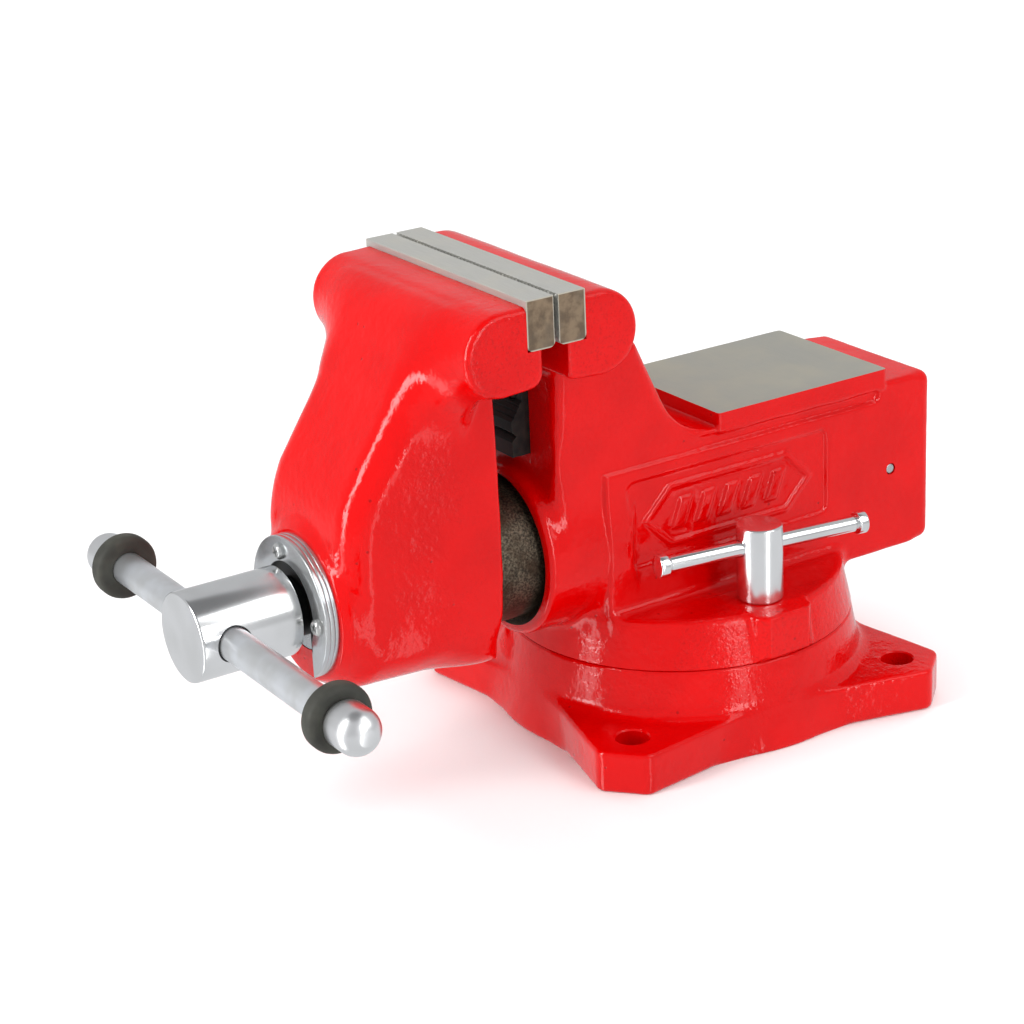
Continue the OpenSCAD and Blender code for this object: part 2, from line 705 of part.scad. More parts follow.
// Lock bolt on the right: its round head runs in the base's tee slot
module lock_bolt() {
    head_top_z = base_top_z - lip_t - body_gap;
    color(zinc) translate([lock_x, 0, 0]) {
        translate([0, 0, head_top_z - 8]) cylinder(r = tee_hw - 1, h = 8);
        translate([0, 0, head_top_z - 1]) cylinder(d = lock_bolt_d, h = lock_nut_floor_z - head_top_z - 1);
    }
}
module right_lock_bolt() { lock_bolt(); }
module left_lock_bolt() { mirror([1, 0, 0]) lock_bolt(); }

// Tall round nut on the right, blind from below and cross-bored for its bar
module lock_nut() {
    ease = 1.2;
    color(chrome) translate([lock_x, 0, 0]) difference() {
        rotate_extrude() polygon([[0, foot_top_z + 0.1], [lock_r, foot_top_z + 0.1],
                                  [lock_r, lock_nut_top_z - ease], [lock_r - ease, lock_nut_top_z],
                                  [0, lock_nut_top_z]]);
        translate([0, 0, foot_top_z - 1])
            cylinder(r = lock_bolt_d / 2 + running, h = lock_nut_floor_z - foot_top_z + 1);
        translate([0, 0, lock_bar_z]) rotate([0, 0, -lock_bar_angle]) rotate([-90, 0, 0])
            cylinder(r = lock_bar_d / 2 + 0.3, h = lock_nut_d + 2, center = true);
    }
}
module right_lock_nut() { lock_nut(); }
module left_lock_nut() { mirror([1, 0, 0]) lock_nut(); }

// Lock bar on the right, a rod with a headed end at each side
module lock_bar() {
    end_d = lock_bar_d + 4;
    end_l = 6;
    color(chrome) translate([lock_x, 0, lock_bar_z]) rotate([0, 0, -lock_bar_angle])
        translate([0, lock_bar_shift - lock_bar_len / 2, 0]) rotate([-90, 0, 0]) {
            cylinder(d = lock_bar_d, h = lock_bar_len);
            for (z = [0, lock_bar_len - end_l]) translate([0, 0, z]) cylinder(d = end_d, h = end_l);
        }
}
module right_lock_bar() { lock_bar(); }
module left_lock_bar() { mirror([1, 0, 0]) lock_bar(); }

swivel_base();
fixed_body();
movable_jaw();
rear_jaw_plate();
front_jaw_plate();
rear_jaw_screws();
front_jaw_screws();
fixed_pipe_jaw();
movable_pipe_jaw();
fixed_pipe_jaw_screws();
movable_pipe_jaw_screws();
spindle();
spindle_collar();
collar_pin();
thrust_washer();
retainer_plate();
retainer_ring();
retainer_screws();
tubular_nut();
nut_pin();
slide_key();
slide_key_screw();
handle_rod();
near_handle_cap();
far_handle_cap();
near_handle_ring();
far_handle_ring();
pivot_bolt();
pivot_washer();
right_lock_bolt();
left_lock_bolt();
right_lock_nut();
left_lock_nut();
right_lock_bar();
left_lock_bar();
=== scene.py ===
import math

import bmesh
import bpy
import numpy as np
import openvdb
from mathutils import Matrix, Vector


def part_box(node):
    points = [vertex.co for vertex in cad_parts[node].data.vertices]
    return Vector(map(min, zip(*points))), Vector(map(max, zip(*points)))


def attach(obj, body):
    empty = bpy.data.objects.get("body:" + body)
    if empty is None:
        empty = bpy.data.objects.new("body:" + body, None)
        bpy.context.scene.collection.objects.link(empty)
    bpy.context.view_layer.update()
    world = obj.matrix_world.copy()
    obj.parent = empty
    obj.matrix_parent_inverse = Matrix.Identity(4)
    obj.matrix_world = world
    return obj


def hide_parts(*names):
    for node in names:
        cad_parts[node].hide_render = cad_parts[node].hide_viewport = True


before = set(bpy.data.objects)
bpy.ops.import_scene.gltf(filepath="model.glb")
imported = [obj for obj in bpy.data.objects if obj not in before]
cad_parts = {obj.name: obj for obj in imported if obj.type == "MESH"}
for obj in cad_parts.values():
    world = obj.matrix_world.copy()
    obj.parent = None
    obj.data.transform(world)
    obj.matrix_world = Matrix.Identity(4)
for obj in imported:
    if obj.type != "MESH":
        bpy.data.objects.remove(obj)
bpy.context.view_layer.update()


# ---- Camera ----
# A long lens that looks down on the vise from in front of its right-hand side, with a slight roll.
# It is aimed at a point just left of the throat, so that the whole tool sits in the middle.

azimuth, elevation, roll = math.radians(57.6), math.radians(21.15), math.radians(-2.66)
aim, distance = Vector((-0.05731, -0.08072, 0.11389)), 1.61331
back = Vector((math.sin(azimuth) * math.cos(elevation), -math.cos(azimuth) * math.cos(elevation),
               math.sin(elevation)))
lens = bpy.data.cameras.new("camera")
lens.lens, lens.sensor_width, lens.clip_start, lens.clip_end = 94.25, 36.0, 0.05, 60.0
camera = bpy.data.objects.new("camera", lens)
camera.location = aim + back * distance
camera.rotation_euler = ((-back).to_track_quat("-Z", "Y").to_matrix()
                         @ Matrix.Rotation(roll, 3, "Z")).to_euler()
bpy.context.scene.collection.objects.link(camera)
bpy.context.scene.camera = camera


# ---- Floor and light ----
# A plain pale floor, a tall soft box in front of the spindle, weaker ones at its right, and broad
# fill lights. The floor stays out of reflections, so that it doesn't wash out the red; two dim boxes
# below it stand for the shine of the soft boxes on it.

class Value:
    """A number that changes over the surface, used like any number in an expression."""

    def __init__(self, finish, socket):
        self.finish, self.socket = finish, socket

    def math(self, operation, *inputs):
        return self.finish.node("ShaderNodeMath", {"operation": operation},
                                dict(enumerate(inputs)))

    def __add__(self, other): return self.math("ADD", self, other)
    def __radd__(self, other): return self.math("ADD", other, self)
    def __sub__(self, other): return self.math("SUBTRACT", self, other)
    def __rsub__(self, other): return self.math("SUBTRACT", other, self)
    def __mul__(self, other): return self.math("MULTIPLY", self, other)
    def __rmul__(self, other): return self.math("MULTIPLY", other, self)
    def __abs__(self): return self.math("ABSOLUTE", self)
    def most(self, other): return self.math("MAXIMUM", self, other)
    def least(self, other): return self.math("MINIMUM", self, other)

    def ramp(self, low, high):
        """0 below low, 1 above high and a smooth step in between; low above high turns it round."""
        lo, hi, a, b = (low, high, 0.0, 1.0) if low < high else (high, low, 1.0, 0.0)
        return self.finish.node(
            "ShaderNodeMapRange", {"interpolation_type": "SMOOTHSTEP"},
            {"Value": self, "From Min": lo, "From Max": hi, "To Min": a, "To Max": b})


class Finish:
    """A Principled material with the nodes that drive it. Patterns are worked out in Object
    coordinates, in millimetres."""

    def __init__(self, name, **constants):
        self.material = bpy.data.materials.new(name)
        self.material.use_nodes = True
        self.tree = self.material.node_tree
        self.shader = self.tree.nodes["Principled BSDF"]
        for socket, value in constants.items():
            self.shader.inputs[socket.replace("_", " ")].default_value = value
        place = self.tree.nodes.new("ShaderNodeTexCoord").outputs["Object"]
        self.place = self.node("ShaderNodeVectorMath", {"operation": "SCALE"},
                               {"Vector": Value(self, place), "Scale": 1000.0})
        self.x, self.y, self.z = (
            Value(self, self.split(self.place).outputs[axis]) for axis in "XYZ")

    def split(self, vector):
        cut = self.tree.nodes.new("ShaderNodeSeparateXYZ")
        self.tree.links.new(vector.socket, cut.inputs[0])
        return cut

    def node(self, kind, settings, inputs, output=0):
        """Adds a node: its settings first, then each input's number, colour, vector or link."""
        made = self.tree.nodes.new(kind)
        for name, value in settings.items():
            setattr(made, name, value)
        for name, value in inputs.items():
            if isinstance(value, Value):
                self.tree.links.new(value.socket, made.inputs[name])
            else:
                made.inputs[name].default_value = value
        return Value(self, made.outputs[output])

    def noise(self, size, detail=2.0, rough=0.5, stretch=(1.0, 1.0, 1.0), shift=0.0):
        """Cloudy noise between 0 and 1 with spots about size millimetres across."""
        at = self.node("ShaderNodeMapping", {}, {"Vector": self.place, "Location": (shift,) * 3,
                                                 "Scale": tuple(1 / (size * s) for s in stretch)})
        return self.node("ShaderNodeTexNoise", {}, {"Vector": at, "Scale": 1.0, "Detail": detail,
                                                    "Roughness": rough})

    def cells(self, size, shift=0.0):
        """Distance to the nearest of many points spread about size millimetres apart."""
        at = self.node("ShaderNodeMapping", {}, {"Vector": self.place, "Location": (shift,) * 3,
                                                 "Scale": (1 / size,) * 3})
        return self.node("ShaderNodeTexVoronoi", {}, {"Vector": at, "Scale": 1.0})

    def mix(self, mask, first, second):
        """The first colour where the mask is 0 and the second where it is 1."""
        return self.node("ShaderNodeMix", {"data_type": "RGBA"}, {0: mask, 6: first, 7: second}, 2)

    def wear(self, color, roughness=None, height=None):
        """Joins the patterns to the shader; height is in millimetres."""
        self.tree.links.new(color.socket, self.shader.inputs["Base Color"])
        if roughness is not None:
            self.tree.links.new(roughness.socket, self.shader.inputs["Roughness"])
        if height is not None:
            bump = self.node("ShaderNodeBump", {}, {"Strength": 1.0, "Distance": 0.001,
                                                    "Height": height})
            self.tree.links.new(bump.socket, self.shader.inputs["Normal"])
        return self.material


def tone(hex_code):
    """A linear colour from a six-digit sRGB code."""
    srgb = np.array([int(hex_code[i:i + 2], 16) for i in (0, 2, 4)]) / 255
    linear = np.where(srgb > 0.04045, ((srgb + 0.055) / 1.055) ** 2.4, srgb / 12.92)
    return (*linear.tolist(), 1.0)


def sheet_mesh(name, columns, rows, corner, along, across):
    """A flat grid: point (i, j) is corner + along * i / columns + across * j / rows."""
    i, j = np.meshgrid(np.linspace(0, 1, columns + 1), np.linspace(0, 1, rows + 1), indexing="ij")
    points = (np.array(corner) + i[..., None] * np.array(along) + j[..., None] * np.array(across))
    first = (np.arange(columns)[:, None] * (rows + 1) + np.arange(rows)).reshape(-1, 1)
    mesh = bpy.data.meshes.new(name)
    mesh.from_pydata(points.reshape(-1, 3).tolist(), [],
                     (first + [0, rows + 1, rows + 2, 1]).tolist())
    return mesh


pale = Finish("pale_floor", Roughness=0.8, Specular_IOR_Level=0.1)
floor_sheet = sheet_mesh("floor", 12, 12, (-8, -8, 0), (16, 0, 0), (0, 16, 0))
floor = bpy.data.objects.new("floor", floor_sheet)
floor_color = pale.mix(pale.noise(900.0), tone("fbfbfb"), tone("f8f8f8"))
floor.data.materials.append(pale.wear(color=floor_color))
bpy.context.scene.collection.objects.link(floor)
floor.visible_glossy = False

# The sky is dim overhead and brighter below the horizon
world = bpy.data.worlds.new("studio")
world.use_nodes = True
sky = world.node_tree
direction = sky.nodes.new("ShaderNodeTexCoord")
apart = sky.nodes.new("ShaderNodeSeparateXYZ")
sky.links.new(direction.outputs["Generated"], apart.inputs[0])
both = sky.nodes.new("ShaderNodeMath")
overhead, below = (0.84, 0.92, 0.56, 0.22), (-0.12, 0.0, 0.2, 0.0)
for share, values in zip(both.inputs, (overhead, below)):
    band = sky.nodes.new("ShaderNodeMapRange")
    band.interpolation_type = "SMOOTHSTEP"
    for socket, value in zip(("From Min", "From Max", "To Min", "To Max"), values):
        band.inputs[socket].default_value = value
    sky.links.new(apart.outputs["Z"], band.inputs["Value"])
    sky.links.new(band.outputs[0], share)
sky.links.new(both.outputs[0], sky.nodes["Background"].inputs["Strength"])
sky.nodes["Background"].inputs["Color"].default_value = (0.97, 0.98, 1.0, 1.0)
bpy.context.scene.world = world
bpy.context.scene.view_settings.view_transform = "Standard"


def soft_box(name, turn, height, distance, width, tall, watts, glossy=True):
    """A rectangular lamp at that azimuth and height about the object, facing its middle."""
    lamp = bpy.data.lights.new(name, "AREA")
    lamp.shape, lamp.size, lamp.size_y, lamp.energy = "RECTANGLE", width, tall, watts
    box = bpy.data.objects.new(name, lamp)
    angle = math.radians(turn)
    box.location = (math.sin(angle) * distance, -math.cos(angle) * distance, height)
    middle = Vector((0, -0.05, 0.12))
    box.rotation_euler = (middle - box.location).to_track_quat("-Z", "Y").to_euler()
    box.visible_glossy = glossy
    bpy.context.scene.collection.objects.link(box)


soft_box("front_box", -4.0, 0.85, 1.9, 0.45, 1.8, 32.0)
soft_box("side_box", 92.0, 0.72, 2.1, 0.4, 1.5, 14.0)
soft_box("back_box", 118.5, 1.3, 1.45, 0.8, 1.5, 7.0)
soft_box("front_shine", -4.0, -0.85, 1.9, 0.45, 1.8, 9.0)
soft_box("side_shine", 92.0, -0.72, 2.1, 0.4, 1.5, 3.5)
soft_box("side_fill", 66.0, 1.5, 2.6, 2.2, 2.0, 3.0, glossy=False)
soft_box("top_box", 200.0, 2.6, 0.8, 2.4, 2.4, 29.0, glossy=False)
for k, turn in enumerate((205, 237, 270)):
    soft_box("far_box_%d" % k, turn, 2.4, 5.5, 3.0, 2.6, 60.0, glossy=False)


# ---- Swivel base ----
# A round grey-iron casting with a lug at each corner for a bench bolt, hollow underneath. Its top
# is faced flat, with a tee slot turned into it for the lock bolts; the outside is sprayed red.

def enamel(name, rough_where):
    """Thick gloss red enamel over sandy iron: a fine orange peel, coarser where rough_where(finish)
    says, a few small pits, and painted shade in the hollows of the sand grain, most where the skin
    is coarse."""
    red = Finish(name, Specular_IOR_Level=0.3, IOR=1.5)
    coarse = rough_where(red)
    peel = red.noise(3.4, 2.0, 0.5) * 0.24 + red.noise(8.0, 1.0) * 0.24
    grain = red.noise(1.6, 2.0, 0.55, shift=9.0)
    sand = grain * 0.26 + red.cells(2.1, shift=2.0).ramp(0.0, 0.55) * 0.09
    pits = red.cells(16.0, shift=5.0).ramp(0.075, 0.03)
    color = red.mix(red.noise(45.0, 2.0).ramp(0.35, 0.7), tone("d20102"), tone("c80001"))
    # Painted shade: the hollows of the sand grain are darkened in the colour, most where the skin is
    # coarse.
    color = red.mix(grain.ramp(0.5, 0.3) * coarse * 0.3, color, tone("8f0102"))
    color = red.mix(pits * 0.5, color, tone("6a0303"))
    return red.wear(color=color, roughness=0.075 + coarse * 0.06 + red.noise(18.0) * 0.05,
                    height=peel + sand * (0.06 + coarse * 0.8) - pits * 0.12)


def block(low, high, step):
    """x, y and z in millimetres over a box, as arrays that spread to a full grid when combined."""
    shapes = (-1, 1, 1), (1, -1, 1), (1, 1, -1)
    return [np.arange(a, b + step, step, dtype=np.float32).reshape(shape)
            for a, b, shape in zip(low, high, shapes)]


def joined(a, b, r):
    """Union of two distance fields, with a fillet of radius r in the corner between them."""
    return np.maximum(r, np.minimum(a, b)) - np.hypot(np.maximum(r - a, 0), np.maximum(r - b, 0))


def common(a, b, r):
    """What two distance fields share, with the edge between them rounded to radius r."""
    return np.minimum(-r, np.maximum(a, b)) + np.hypot(np.maximum(r + a, 0), np.maximum(r + b, 0))


def step_up(value, low, high):
    """0 below low, 1 above high, 3t^2 - 2t^3 in between."""
    t = np.clip((value - low) / (high - low), 0, 1)
    return t * t * (3 - 2 * t)


def outline(points, a, b):
    """Signed distance to a closed polygon: the least distance to a side, negative inside, where a
    line from the point crosses the polygon's sides an odd number of times."""
    points = np.asarray(points, np.float32)
    least = np.full(np.broadcast(a, b).shape, 1e12, np.float32)
    inside = np.zeros(least.shape, bool)
    for (pa, pb), (qa, qb) in zip(points, np.roll(points, -1, 0)):
        ea, eb = qa - pa, qb - pb
        wa, wb = a - pa, b - pb
        t = np.clip((wa * ea + wb * eb) / (ea * ea + eb * eb), 0, 1)
        least = np.minimum(least, (wa - ea * t) ** 2 + (wb - eb * t) ** 2)
        if abs(eb) > 1e-9:
            inside ^= ((pb > b) != (qb > b)) & (wa < ea * wb / eb)
    return np.where(inside, -1, 1) * np.sqrt(least)


def arc(centre_a, centre_b, r, start, end, count=10):
    """Points (a, b) on a circle from one angle to another, in degrees."""
    t = np.radians(np.linspace(start, end, count + 1))
    return np.stack([centre_a + r * np.cos(t), centre_b + r * np.sin(t)], 1).tolist()


def ripple(x, y, z, size=0.09):
    """The slow unevenness of a sand casting: a few products of sines of different lengths."""
    return size * (np.sin(x / 5.3 + 1) * np.sin(y / 6.1) * np.sin(z / 4.7 + 2)
                   + 1.4 * np.sin(x / 13 + 2) * np.sin(y / 11 + 1) * np.sin(z / 12)
                   + 0.5 * np.sin(x / 2.9) * np.sin(y / 3.3 + 2) * np.sin(z / 3.1))


def weld(mesh, gap=1e-6):
    """Merges points that coincide, which closes seams and poles, and turns faces outwards."""
    bm = bmesh.new()
    bm.from_mesh(mesh)
    bmesh.ops.remove_doubles(bm, verts=bm.verts, dist=gap)
    bmesh.ops.dissolve_degenerate(bm, edges=bm.edges, dist=gap)
    bmesh.ops.recalc_face_normals(bm, faces=bm.faces)
    bm.to_mesh(mesh)
    bm.free()
    return mesh


def faces_mesh(name, points, faces):
    """A mesh from an array of points in millimetres and a list of faces."""
    mesh = bpy.data.meshes.new(name)
    mesh.from_pydata((np.asarray(points, float) / 1000).tolist(), [], faces)
    return mesh


def cast(name, field, origin, step):
    """The surface where a distance field on a grid from origin is zero."""
    volume = openvdb.FloatGrid(4 * step)
    volume.copyFromArray(np.clip(field, -4 * step, 4 * step).astype(np.float32))
    points, quads = volume.convertToQuads(0.0)
    return weld(faces_mesh(name, points * step + np.array(origin), quads.tolist()))


def ring_faces(rows, count, wrap=False):
    """Quads between closed rows of count points; wrap also joins the last row to the first."""
    i, j = np.meshgrid(np.arange(rows if wrap else rows - 1), np.arange(count), indexing="ij")
    i2, j2 = (i + 1) % rows, (j + 1) % count
    corners = (i * count + j, i * count + j2, i2 * count + j2, i2 * count + j)
    return np.stack(corners, -1).reshape(-1, 4).tolist()


def capped_faces(rows, count):
    """The same without a wrap, and a face over the first row and the last."""
    first, last = list(range(count)), list(range((rows - 1) * count, rows * count))
    return ring_faces(rows, count) + [first[::-1], last]


def lathe(name, profile, start, axis=(0, 0, 1), count=64, ring=False):
    """Turned shape: point (r, h) at angle t goes to start + h * axis + r * (u cos t + v sin t).
    A rod's profile runs from the axis back to the axis, and a ring's is a closed loop."""
    axis = Vector(axis).normalized()
    u = axis.orthogonal().normalized()
    v = axis.cross(u)
    profile = np.asarray(profile, float)
    t = np.linspace(0, 2 * np.pi, count, endpoint=False)
    around = np.cos(t)[:, None] * np.array(u) + np.sin(t)[:, None] * np.array(v)
    points = (np.array(start) + profile[:, 1, None, None] * np.array(axis)
              + profile[:, 0, None, None] * around)
    return weld(faces_mesh(name, points.reshape(-1, 3), ring_faces(len(profile), count, ring)))


def box_mesh(name, low, high):
    """A plain box between two corners, used as a cutter."""
    corners = np.array([[(low, high)[(k >> n) & 1][n] for n in range(3)] for k in range(8)])
    return weld(faces_mesh(name, corners, [(0, 1, 3, 2), (4, 6, 7, 5), (0, 4, 5, 1), (2, 3, 7, 6),
                                           (0, 2, 6, 4), (1, 5, 7, 3)]))


def machined(mesh, cutters, keep=1.0, calm=0):
    """The mesh after a light smoothing, thinned to a share of its faces and cut by each cutter."""
    work = bpy.data.objects.new("work", mesh)
    bpy.context.scene.collection.objects.link(work)
    helpers = [work]
    if calm:
        smooth = work.modifiers.new("calm", "SMOOTH")
        smooth.factor, smooth.iterations = 0.5, calm
    if keep < 1:
        work.modifiers.new("thin", "DECIMATE").ratio = keep
    for cutter in cutters:
        tool = bpy.data.objects.new("tool", cutter)
        bpy.context.scene.collection.objects.link(tool)
        helpers.append(tool)
        cut = work.modifiers.new("cut", "BOOLEAN")
        cut.operation, cut.solver, cut.object = "DIFFERENCE", "MANIFOLD", tool
    bpy.context.view_layer.update()
    graph = bpy.context.evaluated_depsgraph_get()
    done = bpy.data.meshes.new_from_object(work.evaluated_get(graph))
    for helper in helpers:
        bpy.data.objects.remove(helper)
    return done


def piece(name, mesh, body, slot, *materials, replaces=(), crease=35.0, bevel=0.0, second=None):
    """A finished piece: smooth but for edges sharper than crease degrees, riding on a CAD body.
    second(x, y, z) says at a face's middle which of the materials the face has."""
    mesh.name = name
    made = bpy.data.objects.new(name, mesh)
    mesh.materials.clear()
    for material in materials:
        mesh.materials.append(material)
    which = np.zeros(len(mesh.polygons), np.int32)
    if second is not None:
        middles = np.zeros(len(which) * 3, np.float32)
        mesh.polygons.foreach_get("center", middles)
        which = second(*(middles.reshape(-1, 3).T * 1000)).astype(np.int32)
    mesh.polygons.foreach_set("material_index", which)
    mesh.shade_smooth()
    mesh.set_sharp_from_angle(angle=math.radians(crease))
    bpy.context.scene.collection.objects.link(made)
    if bevel:
        ease = made.modifiers.new("ease", "BEVEL")
        ease.width, ease.segments, ease.limit_method = bevel / 1000, 2, "ANGLE"
        ease.angle_limit, ease.harden_normals = math.radians(40), True
    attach(made, body)
    if replaces:
        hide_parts(*replaces)


def span(node):
    """The lowest and highest corners of a CAD node at rest, in millimetres."""
    return [np.array(corner) * 1000 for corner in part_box(node)]


base_turn = -3.4
base_top = span("swivel_base")[1][2]
drum_r, drum_top_r, lug_top = 113.5, 104.0, 25.0
bolt_circle, bolt_r, tip, flank_out, flank_side = 132.5, 9.65, 155.2, 101.1, 51.5
hollow_in, hollow_out, hollow_top = 26, 102, 16.7
tee_in, tee_out, tee_low, tee_high, mouth_in, mouth_out, entry_y = 64, 96, 26.7, 40.7, 71, 89, 80
step = 1.15
x, y, z = block((-126, -126, -3), (126, 126, base_top + 5), step)
radius = np.hypot(x, y)
slope = (drum_r - drum_top_r) / (base_top - 5)
drum = (radius - drum_r + slope * (z - 4)) / math.hypot(1, slope)
drum = np.maximum(common(drum, -z, 1.5), z - base_top - 3)
out, side = (np.abs(x) + np.abs(y)) / math.sqrt(2), np.abs(np.abs(x) - np.abs(y)) / math.sqrt(2)
flank = 0.561 * (out - flank_out) + 0.828 * (side - flank_side)
lug = common(common(flank, out - tip, 3.5), np.maximum(z - lug_top, -z), 2.2)
field = joined(drum, lug, 6.5) + ripple(x, y, z, 0.07)
hollow = np.maximum(np.maximum(hollow_in - radius, radius - hollow_out), z - hollow_top)
field = np.maximum(field, -hollow)
base_mesh = cast("base", field, (x.min(), y.min(), z.min()), step)
up = (0, 0, 1)
holes = [lathe("hole", [(0, -1), (bolt_r, -1), (bolt_r, lug_top - 0.9),
                        (bolt_r + 1.6, lug_top + 0.8), (bolt_r + 1.6, 30), (0, 30)],
               (bolt_circle * math.cos(a), bolt_circle * math.sin(a), 0), up)
         for a in np.radians([45, 135, 225, 315])]
facing = lathe("facing", [(0, base_top), (drum_top_r - 1.0, base_top),
                          (drum_top_r + 2.2, base_top - 3.2), (drum_top_r + 2.2, base_top + 9),
                          (0, base_top + 9)], (0, 0, 0), up, 192)
under = box_mesh("under", (-150, -150, -9), (150, 150, 0))
tee = lathe("tee", [(tee_in, tee_low), (tee_out, tee_low), (tee_out, tee_high),
                    (mouth_out, tee_high), (mouth_out, 60), (mouth_in, 60), (mouth_in, tee_high),
                    (tee_in, tee_high)], (0, 0, 0), up, 128, ring=True)
middle = lathe("middle", [(0, -5), (22, -5), (22, 14), (10.1, 14), (10.1, 60), (0, 60)],
               (0, 0, 0), up)
entries = [lathe("entry", [(0, 12), (16, 12), (16, 28), (0, 28)], (0, s, 0), up)
           for s in (-entry_y, entry_y)]
base_mesh = machined(base_mesh, [facing, under, tee, middle, *entries, *holes], keep=0.75, calm=2)
base_mesh.transform(Matrix.Rotation(math.radians(base_turn), 4, "Z"))
piece("base_casting", base_mesh, "base", "red_enamel",
      enamel("base_enamel", lambda red: red.noise(34.0, 1.0, shift=1.0).ramp(0.38, 0.62)
             * red.z.ramp(20.0, 30.0) * 0.5), replaces=["swivel_base"])


# ---- Fixed body ----
# The body is one grey-iron casting: a foot with two bosses for the locks, a square beam around the
# bore, a round barrel in front and the rear jaw on a sloping neck. It is sprayed red, and only the
# anvil is ground bare; the bore and most of its mouth chamfer are dark iron, the mouth as painted
# shade.

seam, foot_top, beam_low, beam_top, anvil_top = base_top + 0.3, 81.5, 70.5, 179.5, 188.3
screw_z, head_z, jaw_top, tail = 120.5, 265.0, 292.5, span("fixed_body")[1][1]
jaw_half, rear_cast, rear_back, rear_roll, throat = 82.5, -131.9, -117.3, -107.0, -118.0
barrel_front, barrel_r, bore_r, bore_end, beam_front = -126.0, 52.0, 41.08, 119.0, -90.0
lock_x, lock_hole_r, lock_wall_r, pin_place = 80.0, 8.6, 19.5, (0, 124.7, 123.0)
anvil_half, anvil_y, anvil_long = 51.0, 57.0, 63.0
step = 1.25


def rolled_head(y, z, cast_y, roll_y, r, corner=9.0):
    """Distance in the (y, z) plane to a rolled jaw head: a circle, a smaller one at the lower
    front corner, and the straight sides that wrap them."""
    way = 1.0 if roll_y > cast_y else -1.0
    roll = np.hypot(y - roll_y, z - head_z) - r
    nose = np.hypot(y - cast_y - way * corner, z - head_z + r - corner - 1) - corner
    sides = outline([(cast_y, head_z + 24), (roll_y, head_z + r), (roll_y, head_z - r),
                     (cast_y + way * corner, head_z - r + 1),
                     (cast_y, head_z - r + corner + 1)], y, z)
    return np.minimum(np.minimum(roll, nose), sides)


def hexagon(half_length, half_height, a, b):
    """Distance to a long hexagon with pointed ends, centred on the origin."""
    slant = (np.abs(a) - half_length + np.abs(b)) / math.sqrt(2)
    return np.maximum(slant, np.abs(b) - half_height)


x, y, z = block((-111, -129, seam - 5), (111, tail + 3, 295), step)
beam = common(np.abs(y - (beam_front + tail) / 2) - (tail - beam_front) / 2,
              np.abs(z - (beam_low + beam_top) / 2) - (beam_top - beam_low) / 2, 7.0)
neck = outline([(-8.8, screw_z), (throat, screw_z), (throat, head_z), (rear_roll, head_z),
                (rear_back + 54.5, head_z - 22)] + arc(-8.8, beam_top + 36, 36, 210, 270), y, z)
profile = np.minimum(beam, neck)

# Half width of the beam and neck, with the sunk field, its badge and the finger groove in its side
line, groove_r, groove_end = beam_top - 11, 4.0, tail - 46
neck_w = np.interp(z.ravel(), [screw_z, head_z], [45.0, 56.5]).reshape(z.shape) - 0.8
above = step_up(z, line - 0.9, line + 0.9)
behind = step_up(y, -26.0, -8.0)
groove = np.minimum(np.hypot(np.maximum(y - groove_end, 0), z - beam_top + 7) - groove_r, 99)
narrower = 50.0 - np.minimum(neck_w, 50 - 1.2)
width = 50.0 - narrower * above * (1 - behind)
width = width - narrower * (1 - step_up(y, -86.5, -84.5)) * (1 - above)
width = np.where(z > line + 8, np.maximum(width, neck_w), width)
width = width - 2.2 * behind * step_up(groove, 0.9, -0.9)
field_y, field_z = y - (tail - 155), z - (beam_top - 45.5)
plaque = common(np.abs(field_y) - 72.5, np.abs(field_z) - 26.0, 5.0)
mark = np.maximum(hexagon(62.0, 19.0, field_y, field_z), -hexagon(57.0, 15.5, field_y, field_z))
for k in range(-2, 3):
    bar = np.maximum(np.abs(field_y - 17 * k - 0.39 * field_z) * 0.93 - 4.3, np.abs(field_z) - 9.0)
    mark = np.minimum(mark, bar)
width = width - 1.6 * step_up(plaque, 0.9, -0.9) * (1 - step_up(mark, 0.8, -0.8))

edge = 2.6 + 4.0 * step_up(z, 182, 206)
edge = edge + 7.0 * (1 - step_up(y, -100, -78)) * (1 - step_up(z, 150, 185))
edge = edge + 4.0 * step_up(y, tail - 18, tail - 6)
field = common(profile, np.abs(x) - width, edge.astype(np.float32))
reach = np.hypot(x, z - screw_z)
barrel = np.maximum(common(reach - barrel_r, barrel_front - y, 4.0), y + 70)
field = joined(field, barrel, 7.0)
head = common(rolled_head(y, z, rear_cast, rear_roll, 24.0), np.abs(x) - jaw_half, 3.5)
field = joined(field, head, 9.0)
radius = np.hypot(x, y)
foot_slope = 6.0 / (foot_top - seam)
foot = (radius - 104.0 + foot_slope * (z - seam)) / math.hypot(1, foot_slope)
foot = common(foot, z - foot_top, 3.5)
boss = outline([(60, -24), (102, -20), (108, -14), (108, 14), (102, 20), (60, 24)], np.abs(x), y)
boss = common(boss, z - foot_top, 2.0)
foot = joined(foot, np.maximum(boss, 64 - np.abs(x)), 3.0)
foot = np.maximum(foot, seam - 3 - z)
field = joined(field, foot, 6.0)
anvil = common(common(np.abs(x) - anvil_half, np.abs(y - anvil_y) - anvil_long, 1.4),
               beam_top - 4 - z, 1.0)
field = joined(field, np.maximum(anvil, z - anvil_top - 3), 1.6)
field = np.maximum(field + ripple(x, y, z, 0.075), y - tail)
lock_wall = lock_wall_r - np.hypot(np.abs(x) - lock_x, y)
hollow = np.maximum(np.maximum(np.maximum(24 - radius, radius - 92), z - 65.5), lock_wall)
field = np.maximum(field, -hollow)
body_mesh = cast("body", field, (x.min(), y.min(), z.min()), step)

